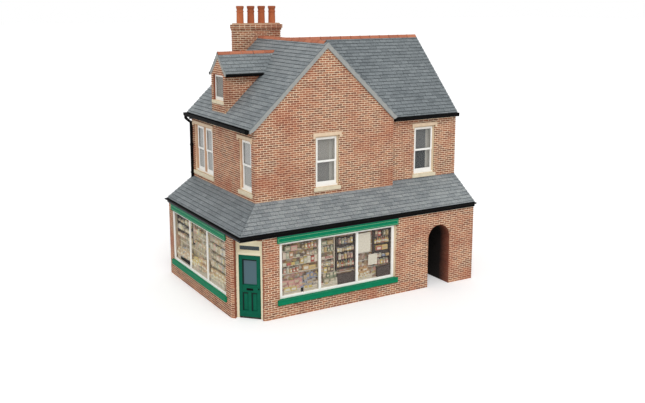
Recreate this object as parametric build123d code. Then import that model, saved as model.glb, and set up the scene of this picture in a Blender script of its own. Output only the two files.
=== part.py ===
from build123d import *
import math
import os

# Corner shop building, a 1:120 scale model. Millimetres, +Z up. X runs along the long front,
# and Y from the front to the rear party wall. It is drawn from the cut corner with the door,
# and written out with its origin on the ground under the middle of the whole building.

# Ground storey
building_length = 79.2
building_depth = 53.5
corner_cut = 7.0
wall_thickness = 2.4
deck_thickness = 1.2
deck_rise = 0.7

# Upper storey, set back behind the lean-to roof
upper_setback = 8.5
gable_block_width = 46.0
right_block_step = 1.35

# Lean-to roof over the two shop fronts, measured on its top face
lean_to_foot = 1.14
lean_to_rise = 5.86
lean_to_overhang = 0.5
lean_to_slab = 1.2

# Main roofs, measured on their top faces
plate_rise = 3.8
cross_plate_drop = 0.45
roof_rise = 21.6
roof_slab = 1.2
eaves_edge = 1.0
main_eaves_overhang = 1.5
main_right_overhang = 1.0
main_right_foot = 0.3
cross_eaves_overhang = 0.9
verge_overhang = 0.6
verge_depth = 1.1

# Ridge tiles
ridge_tile_width = 1.2
ridge_tile_thickness = 0.35

# Shop windows, the same section on both fronts
shop_window_sill = 5.3
shop_window_height = 16.1
front_pier_width = 4.3
left_pier_width = 3.2
passage_pier_width = 11.9
rear_pier_width = 3.0
shop_frame_recess = 0.45
left_shop_frame_recess = 0.1
shop_stile_width = 1.1
shop_rail_height = 0.7
shop_mullion_width = 0.8
shop_frame_depth = 0.7
shop_light_count = 3
board_end = 0.6
fascia_height = 1.9
fascia_proud = 0.5
stall_board_height = 1.5
stall_board_proud = 0.7
display_thickness = 0.4
display_side_gap = 0.2

# Passage through the ground storey
passage_width = 8.1
passage_end_pier = 9.2
passage_crown_drop = 3.65
passage_lining = 1.4

# Door in the cut corner
door_jamb_width = 0.92
door_offset = 0.25
door_recess = 1.0
door_frame_width = 0.98
door_head_width = 1.6
door_frame_depth = 0.6
door_leaf_height = 17.6
door_leaf_thickness = 0.5
transom_bar_height = 1.15
transom_light_height = 1.75
step_height = 0.45
glass_thickness = 0.25
door_stile_width = 1.3
door_top_rail = 1.0
door_glass_height = 7.3

# Sash windows
sash_width = 7.7
sash_height = 14.8
sash_sill_rise = 2.3
sash_recess = 0.45
sash_surround = 0.45
left_sash_surround = 0.95
sash_stile = 0.55
sash_top_rail = 0.65
sash_meeting_rail = 0.6
sash_bottom_rail = 1.1
sash_frame_depth = 0.6
left_sash_margin = 1.95
right_sash_offset = 0.2
pair_light_width = 4.85
pair_surround = 1.5
pair_mullion = 1.7
lintel_height = 1.0
lintel_end = 0.85
lintel_ear_drop = 0.7
lintel_ear_width = 0.7
sill_height = 1.1
sill_end = 0.6
stone_proud = 0.45

# Gutters and downpipe
gutter_wall = 0.2
lean_to_gutter_radius = 0.6
lean_to_gutter_depth = 0.7
main_gutter_radius = 0.65
main_gutter_depth = 1.5
right_gutter_radius = 0.45
right_gutter_depth = 1.1
right_gutter_lap = 0.5
dormer_gutter_radius = 0.4
dormer_gutter_depth = 0.8
lean_to_gutter_drop = 0.1
main_gutter_drop = 0.05
gutter_setback = 0.6
pipe_radius = 0.42
pipe_wall_gap = 0.1
pipe_rear_gap = 0.1
pipe_lintel_gap = 0.41
pipe_outlet = 0.3
pipe_neck_drop = 1.4

# Dormer on the left slope
dormer_inset = 0.6
dormer_setback = 24.8
dormer_width = 9.8
dormer_wall = 1.2
dormer_front_thickness = 1.8
dormer_window_width = 7.2
dormer_window_height = 7.6
dormer_window_recess = 1.1
dormer_sill_rise = 3.45
dormer_plate_rise = 1.35
dormer_roof_rise = 5.0
dormer_slab = 1.1
dormer_eaves_overhang = 0.8
dormer_eaves_edge = 0.6
dormer_verge_overhang = 0.1
dormer_sill_height = 0.9
dormer_sill_end = 0.5
dormer_ridge_tile_width = 1.0

# Chimney on the rear party wall
chimney_width = 16.2
chimney_depth = 2.5
chimney_offset = -0.5
chimney_root = 4.4
chimney_shaft_rise = 2.0
cap_course_height = 0.63
cap_course_steps = (0.25, 0.5, 0.5)
pot_count = 4
pot_pitch = 3.75
pot_radius = 1.25
pot_height = 5.8
pot_rim_height = 1.5
pot_rim_proud = 0.12
pot_bore_radius = 0.85
pot_bore_depth = 3.0

# Heights, storey by storey from the ground up
shop_window_head = shop_window_sill + shop_window_height
deck_top = shop_window_head + fascia_height + deck_rise
deck_bottom = deck_top - deck_thickness
lean_to_base = deck_top + lean_to_foot
lean_to_top = lean_to_base + lean_to_rise
sash_sill = lean_to_top + sash_sill_rise
sash_head = sash_sill + sash_height
main_plate = sash_head + lintel_height + plate_rise
cross_plate = main_plate - cross_plate_drop
ridge_height = main_plate + roof_rise

# Places along the two fronts
gable_left = upper_setback
gable_right = upper_setback + gable_block_width
gable_center = (gable_left + gable_right) / 2
right_front = upper_setback + right_block_step
cross_center = (right_front + building_depth) / 2
passage_start = building_length - passage_end_pier - passage_width
passage_radius = passage_width / 2
passage_center = passage_start + passage_radius
passage_spring = deck_bottom - passage_crown_drop - passage_radius
front_window_start = corner_cut + front_pier_width
front_window_width = passage_start - passage_pier_width - front_window_start
left_window_start = corner_cut + left_pier_width
left_window_width = building_depth - rear_pier_width - left_window_start
door_width = corner_cut * math.sqrt(2) - 2 * door_jamb_width
door_leaf_top = step_height + door_leaf_height
door_head = door_leaf_top + transom_bar_height + transom_light_height + door_head_width
gable_sash_start = gable_center - sash_width / 2
single_start = upper_setback + left_sash_margin
right_sash_start = (gable_right + building_length - sash_width) / 2 + right_sash_offset
pair_width = 2 * (pair_light_width + pair_surround) + pair_mullion
pair_end = building_depth - pipe_rear_gap - 2 * pipe_radius - pipe_lintel_gap - lintel_end
pair_start = pair_end - pair_width

# Slopes, and the height of each roof slab measured upright
main_slope = roof_rise / (gable_block_width / 2)
cross_slope = (ridge_height - cross_plate) / (cross_center - right_front)
lean_to_slope = lean_to_rise / upper_setback
dormer_slope = dormer_roof_rise / (dormer_width / 2)
main_drop = roof_slab * math.hypot(1, main_slope)
cross_drop = roof_slab * math.hypot(1, cross_slope)
lean_to_drop = lean_to_slab * math.hypot(1, lean_to_slope)
dormer_drop = dormer_slab * math.hypot(1, dormer_slope)

# Edges of the roofs
verge_front = upper_setback - verge_overhang
main_edge = gable_left - main_eaves_overhang
main_right_edge = gable_right + main_right_overhang
cross_edge = right_front - cross_eaves_overhang
lean_to_edge = -lean_to_overhang

# The dormer stands on the slope, a little behind the left wall's face
dormer_front = gable_left + dormer_inset
dormer_center = upper_setback + dormer_setback
dormer_sill = ridge_height - main_slope * (gable_center - dormer_front) + dormer_sill_rise
dormer_head = dormer_sill + dormer_window_height
dormer_plate = dormer_head + dormer_plate_rise
dormer_ridge = dormer_plate + dormer_roof_rise

# Cutters reach past what they cut by the clearance, or all the way
clearance = wall_thickness / 2
far = 2 * (building_length + building_depth)
tall = 2 * ridge_height


def main_roof_z(x):
    return ridge_height - main_slope * abs(x - gable_center)


def cross_roof_z(y):
    return ridge_height - cross_slope * abs(y - cross_center)


def lean_to_z(distance):
    """Height of the lean-to roof's top face, by the distance behind the shop front's face."""
    return lean_to_base + lean_to_slope * distance


def dormer_roof_z(y):
    return dormer_ridge - dormer_slope * abs(y - dormer_center)


def block(x0, x1, y0, y1, z0, z1):
    """A box between its low and high corners."""
    return Pos((x0 + x1) / 2, (y0 + y1) / 2, (z0 + z1) / 2) * Box(x1 - x0, y1 - y0, z1 - z0)


def prism_along_x(outline, x0, x1):
    """The (y, z) outline pulled from x0 to x1."""
    face = make_face(Polyline([(x0, y, z) for y, z in outline], close=True))
    return extrude(face, amount=x1 - x0, dir=(1, 0, 0))


def prism_along_y(outline, y0, y1):
    """The (x, z) outline pulled from y0 to y1."""
    face = make_face(Polyline([(x, y0, z) for x, z in outline], close=True))
    return extrude(face, amount=y1 - y0, dir=(0, 1, 0))


def prism_along_z(outline, z0, z1):
    """The (x, y) outline pulled from z0 to z1."""
    face = make_face(Polyline([(x, y, z0) for x, y in outline], close=True))
    return extrude(face, amount=z1 - z0, dir=(0, 0, 1))


def on_left_front(shape):
    """Turns a piece drawn on the long front onto the left front: distance along X becomes Y."""
    return mirror(Rot(0, 0, 90) * shape, about=Plane.YZ)


# ---- Spaces under the roofs, which cut the tops of the walls ----

def under_lean_to():
    """Below the underside of both lean-to slopes, which meet in a hip over the cut corner."""
    outline = [(-far, lean_to_z(-far) - tall), (-far, lean_to_z(-far) - lean_to_drop),
               (far, lean_to_z(far) - lean_to_drop), (far, lean_to_z(-far) - tall)]
    return prism_along_x(outline, -far, far), prism_along_y(outline, -far, far)


def under_main_roof():
    outline = [(gable_left, 0), (gable_left, main_roof_z(gable_left) - main_drop),
               (gable_center, ridge_height - main_drop),
               (gable_right, main_roof_z(gable_right) - main_drop), (gable_right, 0)]
    return prism_along_y(outline, 0, building_depth)


def under_cross_roof():
    outline = [(right_front, 0), (right_front, cross_roof_z(right_front) - cross_drop),
               (cross_center, ridge_height - cross_drop),
               (building_depth, cross_roof_z(building_depth) - cross_drop), (building_depth, 0)]
    return prism_along_x(outline, gable_center, building_length)


# ---- Ground storey ----

def footprint(inset):
    """The plan of the ground storey, moved in from its faces."""
    cut = corner_cut + inset * (math.sqrt(2) - 1)
    return [(cut, inset), (building_length - inset, inset),
            (building_length - inset, building_depth - inset),
            (inset, building_depth - inset), (inset, cut)]


def shop_opening(start, width):
    return block(start, start + width, -clearance, wall_thickness + clearance, shop_window_sill,
                 shop_window_head)


def arch_prism(side, y0, y1):
    """The passage's arched section, with its outline moved out by a side value."""
    radius = passage_radius + side
    legs = block(passage_center - radius, passage_center + radius, y0, y1, -clearance,
                 passage_spring)
    head = Cylinder(radius, y1 - y0, rotation=(90, 0, 0))
    head = Pos(passage_center, (y0 + y1) / 2, passage_spring) * head
    return legs + head


def ground_shell():
    outer = prism_along_z(footprint(0), 0, lean_to_top)
    inner = prism_along_z(footprint(wall_thickness), -clearance, tall)
    front, left = under_lean_to()
    return (outer - inner) & front & left


def corner_block():
    """The part of the ground shell that stands behind the cut corner."""
    reach = corner_cut + wall_thickness * (math.sqrt(2) - 1)
    outline = [(0, corner_cut), (corner_cut, 0), (reach, wall_thickness), (wall_thickness, reach)]
    return prism_along_z(outline, -clearance, tall)


def ground_walls(shell):
    corner_zone = corner_block()
    rest = shell - corner_zone
    front_zone = block(0, far, 0, wall_thickness, 0, tall)
    rear_zone = block(0, far, building_depth - wall_thickness, far, 0, tall)
    right_zone = block(building_length - wall_thickness, far, wall_thickness,
                       building_depth - wall_thickness, 0, tall)
    above_deck = block(0, far, right_front, far, deck_top, tall)
    above_rear = block(upper_setback, far, 0, far, deck_top, tall)
    front = (rest & front_zone) - shop_opening(front_window_start, front_window_width)
    front -= arch_prism(0, -clearance, wall_thickness + clearance)
    right = (rest & right_zone) - above_deck
    rear = (rest & rear_zone) - above_rear
    rear -= arch_prism(0, building_depth - wall_thickness - clearance, building_depth + clearance)
    left = rest - front_zone - rear_zone - right_zone
    left -= on_left_front(shop_opening(left_window_start, left_window_width))
    corner = shell & corner_zone
    doorway = door_opening()
    return front - doorway, left - doorway, right, rear, corner - doorway


def to_doorway(shape):
    """Turns a piece drawn about the doorway, with +Y inwards, onto the cut corner."""
    return Pos(corner_cut / 2, corner_cut / 2, 0) * Rot(0, 0, -45) * Pos(door_offset, 0, 0) * shape


def door_opening():
    half = door_width / 2
    return to_doorway(block(-half, half, -corner_cut, corner_cut, -clearance, door_head))


def passage_pieces():
    y0 = wall_thickness
    y1 = building_depth - wall_thickness
    ring = arch_prism(passage_lining, y0, y1) - arch_prism(0, y0 - clearance, y1 + clearance)
    ring &= block(0, building_length, y0, y1, 0, tall)
    side_zone = block(0, building_length, y0, y1, 0, passage_spring)
    sides = ring & side_zone
    vault = ring - side_zone
    left = sides & block(0, passage_center, y0, y1, 0, tall)
    right = sides & block(passage_center, building_length, y0, y1, 0, tall)
    return left, right, vault


def first_floor():
    return prism_along_z(footprint(wall_thickness), deck_bottom, deck_top)


# ---- Lean-to roof ----

def lean_to_roofs():
    outline = [(lean_to_edge, lean_to_z(lean_to_edge)), (right_front, lean_to_z(right_front)),
               (right_front, lean_to_z(right_front) - lean_to_drop),
               (lean_to_edge, lean_to_z(lean_to_edge) - lean_to_drop)]
    low = 2 * lean_to_edge
    hip_side = prism_along_z([(low, low), (far, low), (far, far)], 0, tall)
    gable_block = block(gable_left, gable_right, upper_setback, far, 0, tall)
    front = (prism_along_x(outline, lean_to_edge, building_length) & hip_side) - gable_block
    side_outline = [(lean_to_edge, lean_to_z(lean_to_edge)), (upper_setback, lean_to_top),
                    (upper_setback, lean_to_top - lean_to_drop),
                    (lean_to_edge, lean_to_z(lean_to_edge) - lean_to_drop)]
    left = prism_along_y(side_outline, lean_to_edge, building_depth) - hip_side
    return front, left


# ---- Upper storey ----

def sash_opening(start, width):
    """An opening for a sash, drawn on the long front at Y = 0."""
    return block(start, start + width, -clearance, wall_thickness + clearance, sash_sill,
                 sash_head)


def upper_walls(stack_zone):
    main = under_main_roof()
    cross = under_cross_roof()
    top = ridge_height
    gable = block(gable_left, gable_right, upper_setback, upper_setback + wall_thickness,
                  deck_top, top) & main
    gable -= Pos(0, upper_setback, 0) * sash_opening(gable_sash_start, sash_width)
    left = block(gable_left, gable_left + wall_thickness, upper_setback + wall_thickness,
                 building_depth, deck_top, top) & main
    for start, width in ((single_start, sash_width), (pair_start, pair_width)):
        opening = Pos(gable_left, 0, 0) * on_left_front(sash_opening(start, width))
        left -= opening
        gable -= opening
    right_front_wall = block(gable_right, building_length, right_front,
                             right_front + wall_thickness, deck_top, top) & cross
    right_front_wall -= Pos(0, right_front, 0) * sash_opening(right_sash_start, sash_width)
    right_end = block(building_length - wall_thickness, building_length,
                      right_front + wall_thickness, building_depth - wall_thickness,
                      deck_top, top) & cross
    rear = block(gable_left + wall_thickness, building_length, building_depth - wall_thickness,
                 building_depth, deck_top, top) & (main + cross)
    return gable, left, right_front_wall, right_end, rear - stack_zone


# ---- Roofs ----

def main_roofs(stack_zone):
    edge_z = main_roof_z(main_edge)
    wall_z = main_roof_z(gable_left) - main_drop
    left_outline = [(gable_center, ridge_height), (main_edge, edge_z),
                    (main_edge, edge_z - eaves_edge), (gable_left, wall_z),
                    (gable_center, ridge_height - main_drop)]
    right_z = main_roof_z(main_right_edge)
    right_outline = [(gable_center, ridge_height), (main_right_edge, right_z),
                     (main_right_edge, right_z - main_right_foot), (gable_right, wall_z),
                     (gable_center, ridge_height - main_drop)]
    start = verge_front + verge_depth
    left = prism_along_y(left_outline, start, building_depth) - stack_zone
    right = prism_along_y(right_outline, start, building_depth) - stack_zone
    verge = prism_along_y(left_outline, verge_front, start)
    verge += prism_along_y(right_outline, verge_front, start)
    return left, right, verge


def cross_roofs():
    edge_z = cross_roof_z(cross_edge)
    wall_z = cross_roof_z(right_front) - cross_drop
    front_outline = [(cross_center, ridge_height), (cross_edge, edge_z),
                     (cross_edge, edge_z - eaves_edge), (right_front, wall_z),
                     (cross_center, ridge_height - cross_drop)]
    rear_outline = [(cross_center, ridge_height), (building_depth, cross_roof_z(building_depth)),
                    (building_depth, cross_roof_z(building_depth) - cross_drop),
                    (cross_center, ridge_height - cross_drop)]
    front = prism_along_x(front_outline, gable_center, building_length)
    rear = prism_along_x(rear_outline, gable_center, building_length)
    return front, rear


def main_solid():
    """Everything under the main roof's top face."""
    outline = [(main_edge, 0), (main_edge, main_roof_z(main_edge)), (gable_center, ridge_height),
               (main_right_edge, main_roof_z(main_right_edge)), (main_right_edge, 0)]
    return prism_along_y(outline, verge_front, building_depth)


def below_cross_roof(drop, end):
    """Everything under the cross roof's top face, or a drop below it, eaves included."""
    outline = [(cross_edge, 0), (cross_edge, cross_roof_z(cross_edge) - drop),
               (cross_center, ridge_height - drop),
               (building_depth, cross_roof_z(building_depth) - drop), (building_depth, 0)]
    return prism_along_x(outline, gable_center, end)


def ridge_strip(reach, slope, apex):
    """The section of a run of ridge tiles, folded over a ridge, as offsets from the ridge line."""
    lift = ridge_tile_thickness * math.hypot(1, slope)
    foot = apex - slope * reach
    return [(0, apex + lift), (-reach, foot + lift), (-reach, foot), (0, apex), (reach, foot),
            (reach, foot + lift)]


def ridge_tiles(stack_zone):
    main_section = ridge_strip(ridge_tile_width, main_slope, ridge_height)
    main_outline = [(gable_center + across, z) for across, z in main_section]
    cross_section = ridge_strip(ridge_tile_width, cross_slope, ridge_height)
    cross_outline = [(cross_center + across, z) for across, z in cross_section]
    main = prism_along_y(main_outline, verge_front + verge_depth, building_depth)
    cross = prism_along_x(cross_outline, gable_center, building_length) - main_solid()
    return (main - stack_zone - below_cross_roof(0, building_length)) + cross


# ---- Dormer ----

def dormer_pieces():
    y0 = dormer_center - dormer_width / 2
    y1 = dormer_center + dormer_width / 2
    back = gable_center
    roof_space = main_solid()
    half = dormer_width / 2 + dormer_eaves_overhang
    under = [(y0, 0), (y0, dormer_roof_z(y0) - dormer_drop),
             (dormer_center, dormer_ridge - dormer_drop),
             (y1, dormer_roof_z(y1) - dormer_drop), (y1, 0)]
    under_roof = prism_along_x(under, dormer_front, back)
    front_back = dormer_front + dormer_front_thickness
    front_wall = block(dormer_front, front_back, y0, y1, 0, tall) & under_roof
    front_wall -= roof_space
    front_wall -= block(dormer_front - clearance, front_back + clearance,
                        dormer_center - dormer_window_width / 2,
                        dormer_center + dormer_window_width / 2, dormer_sill, dormer_head)
    cheeks = []
    for low, high in ((y0, y0 + dormer_wall), (y1 - dormer_wall, y1)):
        cheek = block(front_back, back, low, high, 0, tall) & under_roof
        cheeks.append((cheek - roof_space).solid())
    edge_z = dormer_roof_z(dormer_center + half)
    low_z = edge_z - dormer_eaves_edge
    outline = [(dormer_center, dormer_ridge), (dormer_center - half, edge_z),
               (dormer_center - half, low_z), (y0, dormer_roof_z(y0) - dormer_drop),
               (dormer_center, dormer_ridge - dormer_drop),
               (y1, dormer_roof_z(y1) - dormer_drop), (dormer_center + half, low_z),
               (dormer_center + half, edge_z)]
    roof = prism_along_x(outline, dormer_front - dormer_verge_overhang, back) - roof_space
    return front_wall, cheeks, roof


def dormer_hatch():
    """The way from the attic into the dormer, cut through the main roof."""
    half = dormer_width / 2 - dormer_wall
    top = dormer_roof_z(dormer_center + half) - dormer_drop
    end = gable_center - (ridge_height - top) / main_slope
    return block(dormer_front + dormer_front_thickness, end, dormer_center - half,
                 dormer_center + half, deck_top, tall)


def dormer_ridge_run():
    section = ridge_strip(dormer_ridge_tile_width, dormer_slope, dormer_ridge)
    outline = [(dormer_center + across, z) for across, z in section]
    start = dormer_front - dormer_verge_overhang
    return prism_along_x(outline, start, gable_center) - main_solid()


# ---- Windows ----

def sash(width, height, side, edge, mullion=0, lights=1, halved=True):
    """A window on X and Z with its face at Y = 0: lights of sash in a flat surround.

    The surround is as wide as side at both sides and as edge at the head and the foot.
    """
    light = (width - 2 * side - (lights - 1) * mullion) / lights
    low = edge + sash_bottom_rail
    high = height - edge - sash_top_rail
    middle = sash_frame_depth / 2
    window = block(0, width, 0, sash_frame_depth, 0, height)
    for index in range(lights):
        left = side + index * (light + mullion) + sash_stile
        right = left + light - 2 * sash_stile
        window -= block(left, right, -clearance, sash_frame_depth + clearance, low, high)
        window += block(left, right, middle - glass_thickness / 2,
                        middle + glass_thickness / 2, low, high)
        if halved:
            window += block(left, right, 0, sash_frame_depth, (height - sash_meeting_rail) / 2,
                            (height + sash_meeting_rail) / 2)
    return window


def sash_windows():
    full = sash(sash_width, sash_height, sash_surround, sash_surround)
    single = sash(sash_width, sash_height, left_sash_surround, sash_surround)
    pair = sash(pair_width, sash_height, pair_surround, sash_surround, pair_mullion, 2)
    dormer = sash(dormer_window_width, dormer_window_height, 0, 0, halved=False)
    half = dormer_window_width / 2
    pieces = [Pos(gable_sash_start, upper_setback + sash_recess, sash_sill) * full,
              Pos(right_sash_start, right_front + sash_recess, sash_sill) * full]
    for x, y, recess, low, window in (
            (gable_left, single_start, sash_recess, sash_sill, single),
            (gable_left, pair_start, sash_recess, sash_sill, pair),
            (dormer_front, dormer_center - half, dormer_window_recess, dormer_sill, dormer)):
        pieces.append(Pos(x, 0, 0) * on_left_front(Pos(y, recess, low) * window))
    return [piece.solid() for piece in pieces]


def lintel(start, width):
    """A stone lintel with its two small ears, standing proud of a wall face at Y = 0."""
    x0 = start - lintel_end
    x1 = start + width + lintel_end
    low = sash_head
    stone = block(x0, x1, -stone_proud, 0, low, low + lintel_height)
    stone += block(x0, x0 + lintel_ear_width, -stone_proud, 0, low - lintel_ear_drop, low)
    stone += block(x1 - lintel_ear_width, x1, -stone_proud, 0, low - lintel_ear_drop, low)
    return stone


def window_sill(start, width, top, height, reach):
    """A stone sill standing proud of a wall face at Y = 0."""
    return block(start - reach, start + width + reach, -stone_proud, 0, top - height, top)


def stone_dressings():
    places = [(gable_sash_start, sash_width, Pos(0, upper_setback, 0), False),
              (right_sash_start, sash_width, Pos(0, right_front, 0), False),
              (single_start, sash_width, Pos(gable_left, 0, 0), True),
              (pair_start, pair_width, Pos(gable_left, 0, 0), True)]
    lintels = []
    sills = []
    for start, width, place, turned in places:
        head = lintel(start, width)
        sill = window_sill(start, width, sash_sill, sill_height, sill_end)
        if turned:
            head = on_left_front(head)
            sill = on_left_front(sill)
        lintels.append((place * head).solid())
        sills.append((place * sill).solid())
    low = window_sill(dormer_center - dormer_window_width / 2, dormer_window_width,
                      dormer_sill, dormer_sill_height, dormer_sill_end)
    sills.append((Pos(dormer_front, 0, 0) * on_left_front(low)).solid())
    return lintels, sills


# ---- Shop fronts ----

def shop_window(width):
    """A shop window in lights, on X and Z, with its face at Y = 0."""
    height = shop_window_height
    rail = shop_rail_height
    middle = shop_frame_depth / 2
    inside = width - 2 * shop_stile_width
    light = (inside - (shop_light_count - 1) * shop_mullion_width) / shop_light_count
    window = block(0, width, 0, shop_frame_depth, 0, height)
    for index in range(shop_light_count):
        left = shop_stile_width + index * (light + shop_mullion_width)
        window -= block(left, left + light, -clearance, shop_frame_depth + clearance, rail,
                        height - rail)
        window += block(left, left + light, middle - glass_thickness / 2,
                        middle + glass_thickness / 2, rail, height - rail)
    return window


def fascia(start, width):
    return block(start - board_end, start + width + board_end, -fascia_proud, 0,
                 shop_window_head, shop_window_head + fascia_height)


def stall_board(start, width):
    return block(start - board_end, start + width + board_end, -stall_board_proud, 0,
                 shop_window_sill - stall_board_height, shop_window_sill)


def display(start, width):
    """The card of goods behind a shop window, flush with the wall's inner face."""
    return block(start + display_side_gap, start + width - display_side_gap,
                 wall_thickness - display_thickness, wall_thickness, shop_window_sill,
                 shop_window_head)


def shop_fronts():
    """Windows, fascias, stall boards and displays, each as the pair of both fronts."""
    sets = [[], [], [], []]
    fronts = ((front_window_start, front_window_width, shop_frame_recess, False),
              (left_window_start, left_window_width, left_shop_frame_recess, True))
    for start, width, recess, turned in fronts:
        window = Pos(start, recess, shop_window_sill) * shop_window(width)
        pieces = [window, fascia(start, width), stall_board(start, width), display(start, width)]
        for group, piece in zip(sets, pieces):
            group.append((on_left_front(piece) if turned else piece).solid())
    return sets


# ---- Door ----

def door_pieces():
    half = door_width / 2
    y0 = door_recess
    y1 = y0 + door_frame_depth
    frame = block(-half, half, y0, y1, 0, door_head)
    inner = half - door_frame_width
    light_low = door_leaf_top + transom_bar_height
    light_top = door_head - door_head_width
    frame -= block(-inner, inner, 0, corner_cut, -clearance, door_leaf_top)
    frame -= block(-inner, inner, 0, corner_cut, light_low, light_top)
    middle = (y0 + y1) / 2
    frame += block(-inner, inner, middle - glass_thickness / 2, middle + glass_thickness / 2,
                   light_low, light_top)
    leaf = block(-inner, inner, y0, y0 + door_leaf_thickness, step_height, door_leaf_top)
    glass_half = inner - door_stile_width
    glass_top = door_leaf_top - door_top_rail
    glass_bottom = glass_top - door_glass_height
    leaf -= block(-glass_half, glass_half, 0, corner_cut, glass_bottom, glass_top)
    middle = y0 + door_leaf_thickness / 2
    leaf += block(-glass_half, glass_half, middle - glass_thickness / 2,
                  middle + glass_thickness / 2, glass_bottom, glass_top)
    step = block(-inner, inner, y0, wall_thickness, 0, step_height)
    return [to_doorway(piece) for piece in (frame, leaf, step)]


# ---- Gutters and downpipe ----

def trough(radius, depth):
    """An area straight-sided over a half-round foot, standing a depth below Z = 0 and above it."""
    return Pos(0, radius - depth) * (Circle(radius) + Pos(0, depth) * Rectangle(2 * radius, 2 * depth))


def gutter_section(radius, depth):
    """A gutter cut across, in the plane of X and Z, with its rim at Z = 0."""
    shell = trough(radius, depth) - trough(radius - gutter_wall, depth - gutter_wall)
    return shell & Pos(0, -depth) * Rectangle(4 * radius, 2 * depth)


def gutter_along_x(x0, x1, y, z, radius, depth):
    section = Plane(origin=(x0, y, z), x_dir=(0, 1, 0), z_dir=(1, 0, 0)) * gutter_section(radius, depth)
    return extrude(section, amount=x1 - x0, dir=(1, 0, 0))


def gutter_along_y(x, y0, y1, z, radius, depth):
    section = Plane(origin=(x, y0, z), x_dir=(-1, 0, 0), z_dir=(0, 1, 0)) * gutter_section(radius, depth)
    return extrude(section, amount=y1 - y0, dir=(0, 1, 0))


def lean_to_gutter():
    radius = lean_to_gutter_radius
    center = lean_to_edge - radius
    z = lean_to_z(lean_to_edge) - lean_to_gutter_drop
    front = gutter_along_x(center - radius, building_length, center, z, radius, lean_to_gutter_depth)
    left = gutter_along_y(center, center - radius, building_depth, z, radius, lean_to_gutter_depth)
    low = 2 * center
    hip_side = prism_along_z([(low, low), (far, low), (far, far)], 0, tall)
    return (front & hip_side) + (left - hip_side)


def roof_gutters():
    main_z = main_roof_z(main_edge) - main_gutter_drop
    main = gutter_along_y(main_edge - main_gutter_radius, verge_front + gutter_setback,
                          building_depth, main_z, main_gutter_radius, main_gutter_depth)
    cross_z = cross_roof_z(cross_edge) - main_gutter_drop
    right = gutter_along_x(main_right_edge - right_gutter_lap, building_length,
                           cross_edge - right_gutter_radius, cross_z, right_gutter_radius,
                           right_gutter_depth)
    return main, right


def pipe_run(start, end):
    path = Line(start, end)
    run = sweep(Plane(origin=path @ 0, z_dir=path % 0) * Circle(pipe_radius), path=path)
    return run + Pos(*end) * Sphere(pipe_radius)


def downpipe():
    """From the main gutter back to the left wall, and down to the lean-to roof."""
    y = building_depth - pipe_rear_gap - pipe_radius
    wall_x = gable_left - pipe_radius - pipe_wall_gap
    gutter_x = main_edge - main_gutter_radius
    top = main_roof_z(main_edge) - main_gutter_drop - main_gutter_depth
    outlet = top - pipe_outlet
    bend = outlet - pipe_neck_drop
    low_x = gutter_x - 2 * pipe_radius
    high_x = wall_x + pipe_radius
    pipe = pipe_run((gutter_x, y, top), (gutter_x, y, outlet))
    pipe += pipe_run((gutter_x, y, outlet), (wall_x, y, bend))
    pipe += pipe_run((wall_x, y, bend), (wall_x, y, lean_to_z(low_x)))
    above = prism_along_y([(low_x, lean_to_z(low_x)), (high_x, lean_to_z(high_x)),
                           (high_x, top), (low_x, top)], y - 2 * pipe_radius, y + 2 * pipe_radius)
    return pipe & above


def dormer_gutters():
    half = dormer_width / 2 + dormer_eaves_overhang
    z = dormer_roof_z(dormer_center + half) - main_gutter_drop
    start = dormer_front - dormer_verge_overhang
    end = gable_center - (ridge_height - z) / main_slope
    pieces = []
    for side in (-1, 1):
        y = dormer_center + side * (half + dormer_gutter_radius)
        run = gutter_along_x(start, end + dormer_gutter_radius, y, z, dormer_gutter_radius,
                             dormer_gutter_depth) - main_solid()
        pieces.append(run.solid())
    return pieces


# ---- Chimney ----

def chimney_base():
    """The stack stands on the rear wall, a little below the roof slab at its outer side."""
    outer = chimney_width / 2 + abs(chimney_offset)
    return ridge_height - main_slope * outer - main_drop - chimney_root


def chimney_zone():
    x = gable_center + chimney_offset
    return block(x - chimney_width / 2, x + chimney_width / 2, building_depth - chimney_depth,
                 building_depth + clearance, chimney_base(), tall)


def chimney_courses(x0, x1, y0, z):
    """The corbelled cap: its courses step out on three sides, flush with the party wall."""
    cap = []
    for step in cap_course_steps:
        cap.append(block(x0 - step, x1 + step, y0 - step, building_depth, z, z + cap_course_height))
        z += cap_course_height
    return Part() + cap


def chimney_pot(x, y, z):
    body = Pos(x, y, z + pot_height / 2) * Cylinder(pot_radius, pot_height)
    rim_z = z + pot_height - pot_rim_height / 2
    body += Pos(x, y, rim_z) * Cylinder(pot_radius + pot_rim_proud, pot_rim_height)
    bore_z = z + pot_height - pot_bore_depth / 2
    return (body - Pos(x, y, bore_z) * Cylinder(pot_bore_radius, pot_bore_depth)).solid()


def chimney():
    x = gable_center + chimney_offset
    x0 = x - chimney_width / 2
    x1 = x + chimney_width / 2
    y0 = building_depth - chimney_depth
    top = ridge_height + chimney_shaft_rise
    stack = block(x0, x1, y0, building_depth, chimney_base(), top)
    cap = chimney_courses(x0, x1, y0, top)
    pot_z = top + len(cap_course_steps) * cap_course_height
    pot_y = building_depth - chimney_depth / 2
    first_x = x - pot_pitch * (pot_count - 1) / 2
    pots = [chimney_pot(first_x + index * pot_pitch, pot_y, pot_z) for index in range(pot_count)]
    return stack, cap, pots


# ---- Assembly ----

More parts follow.
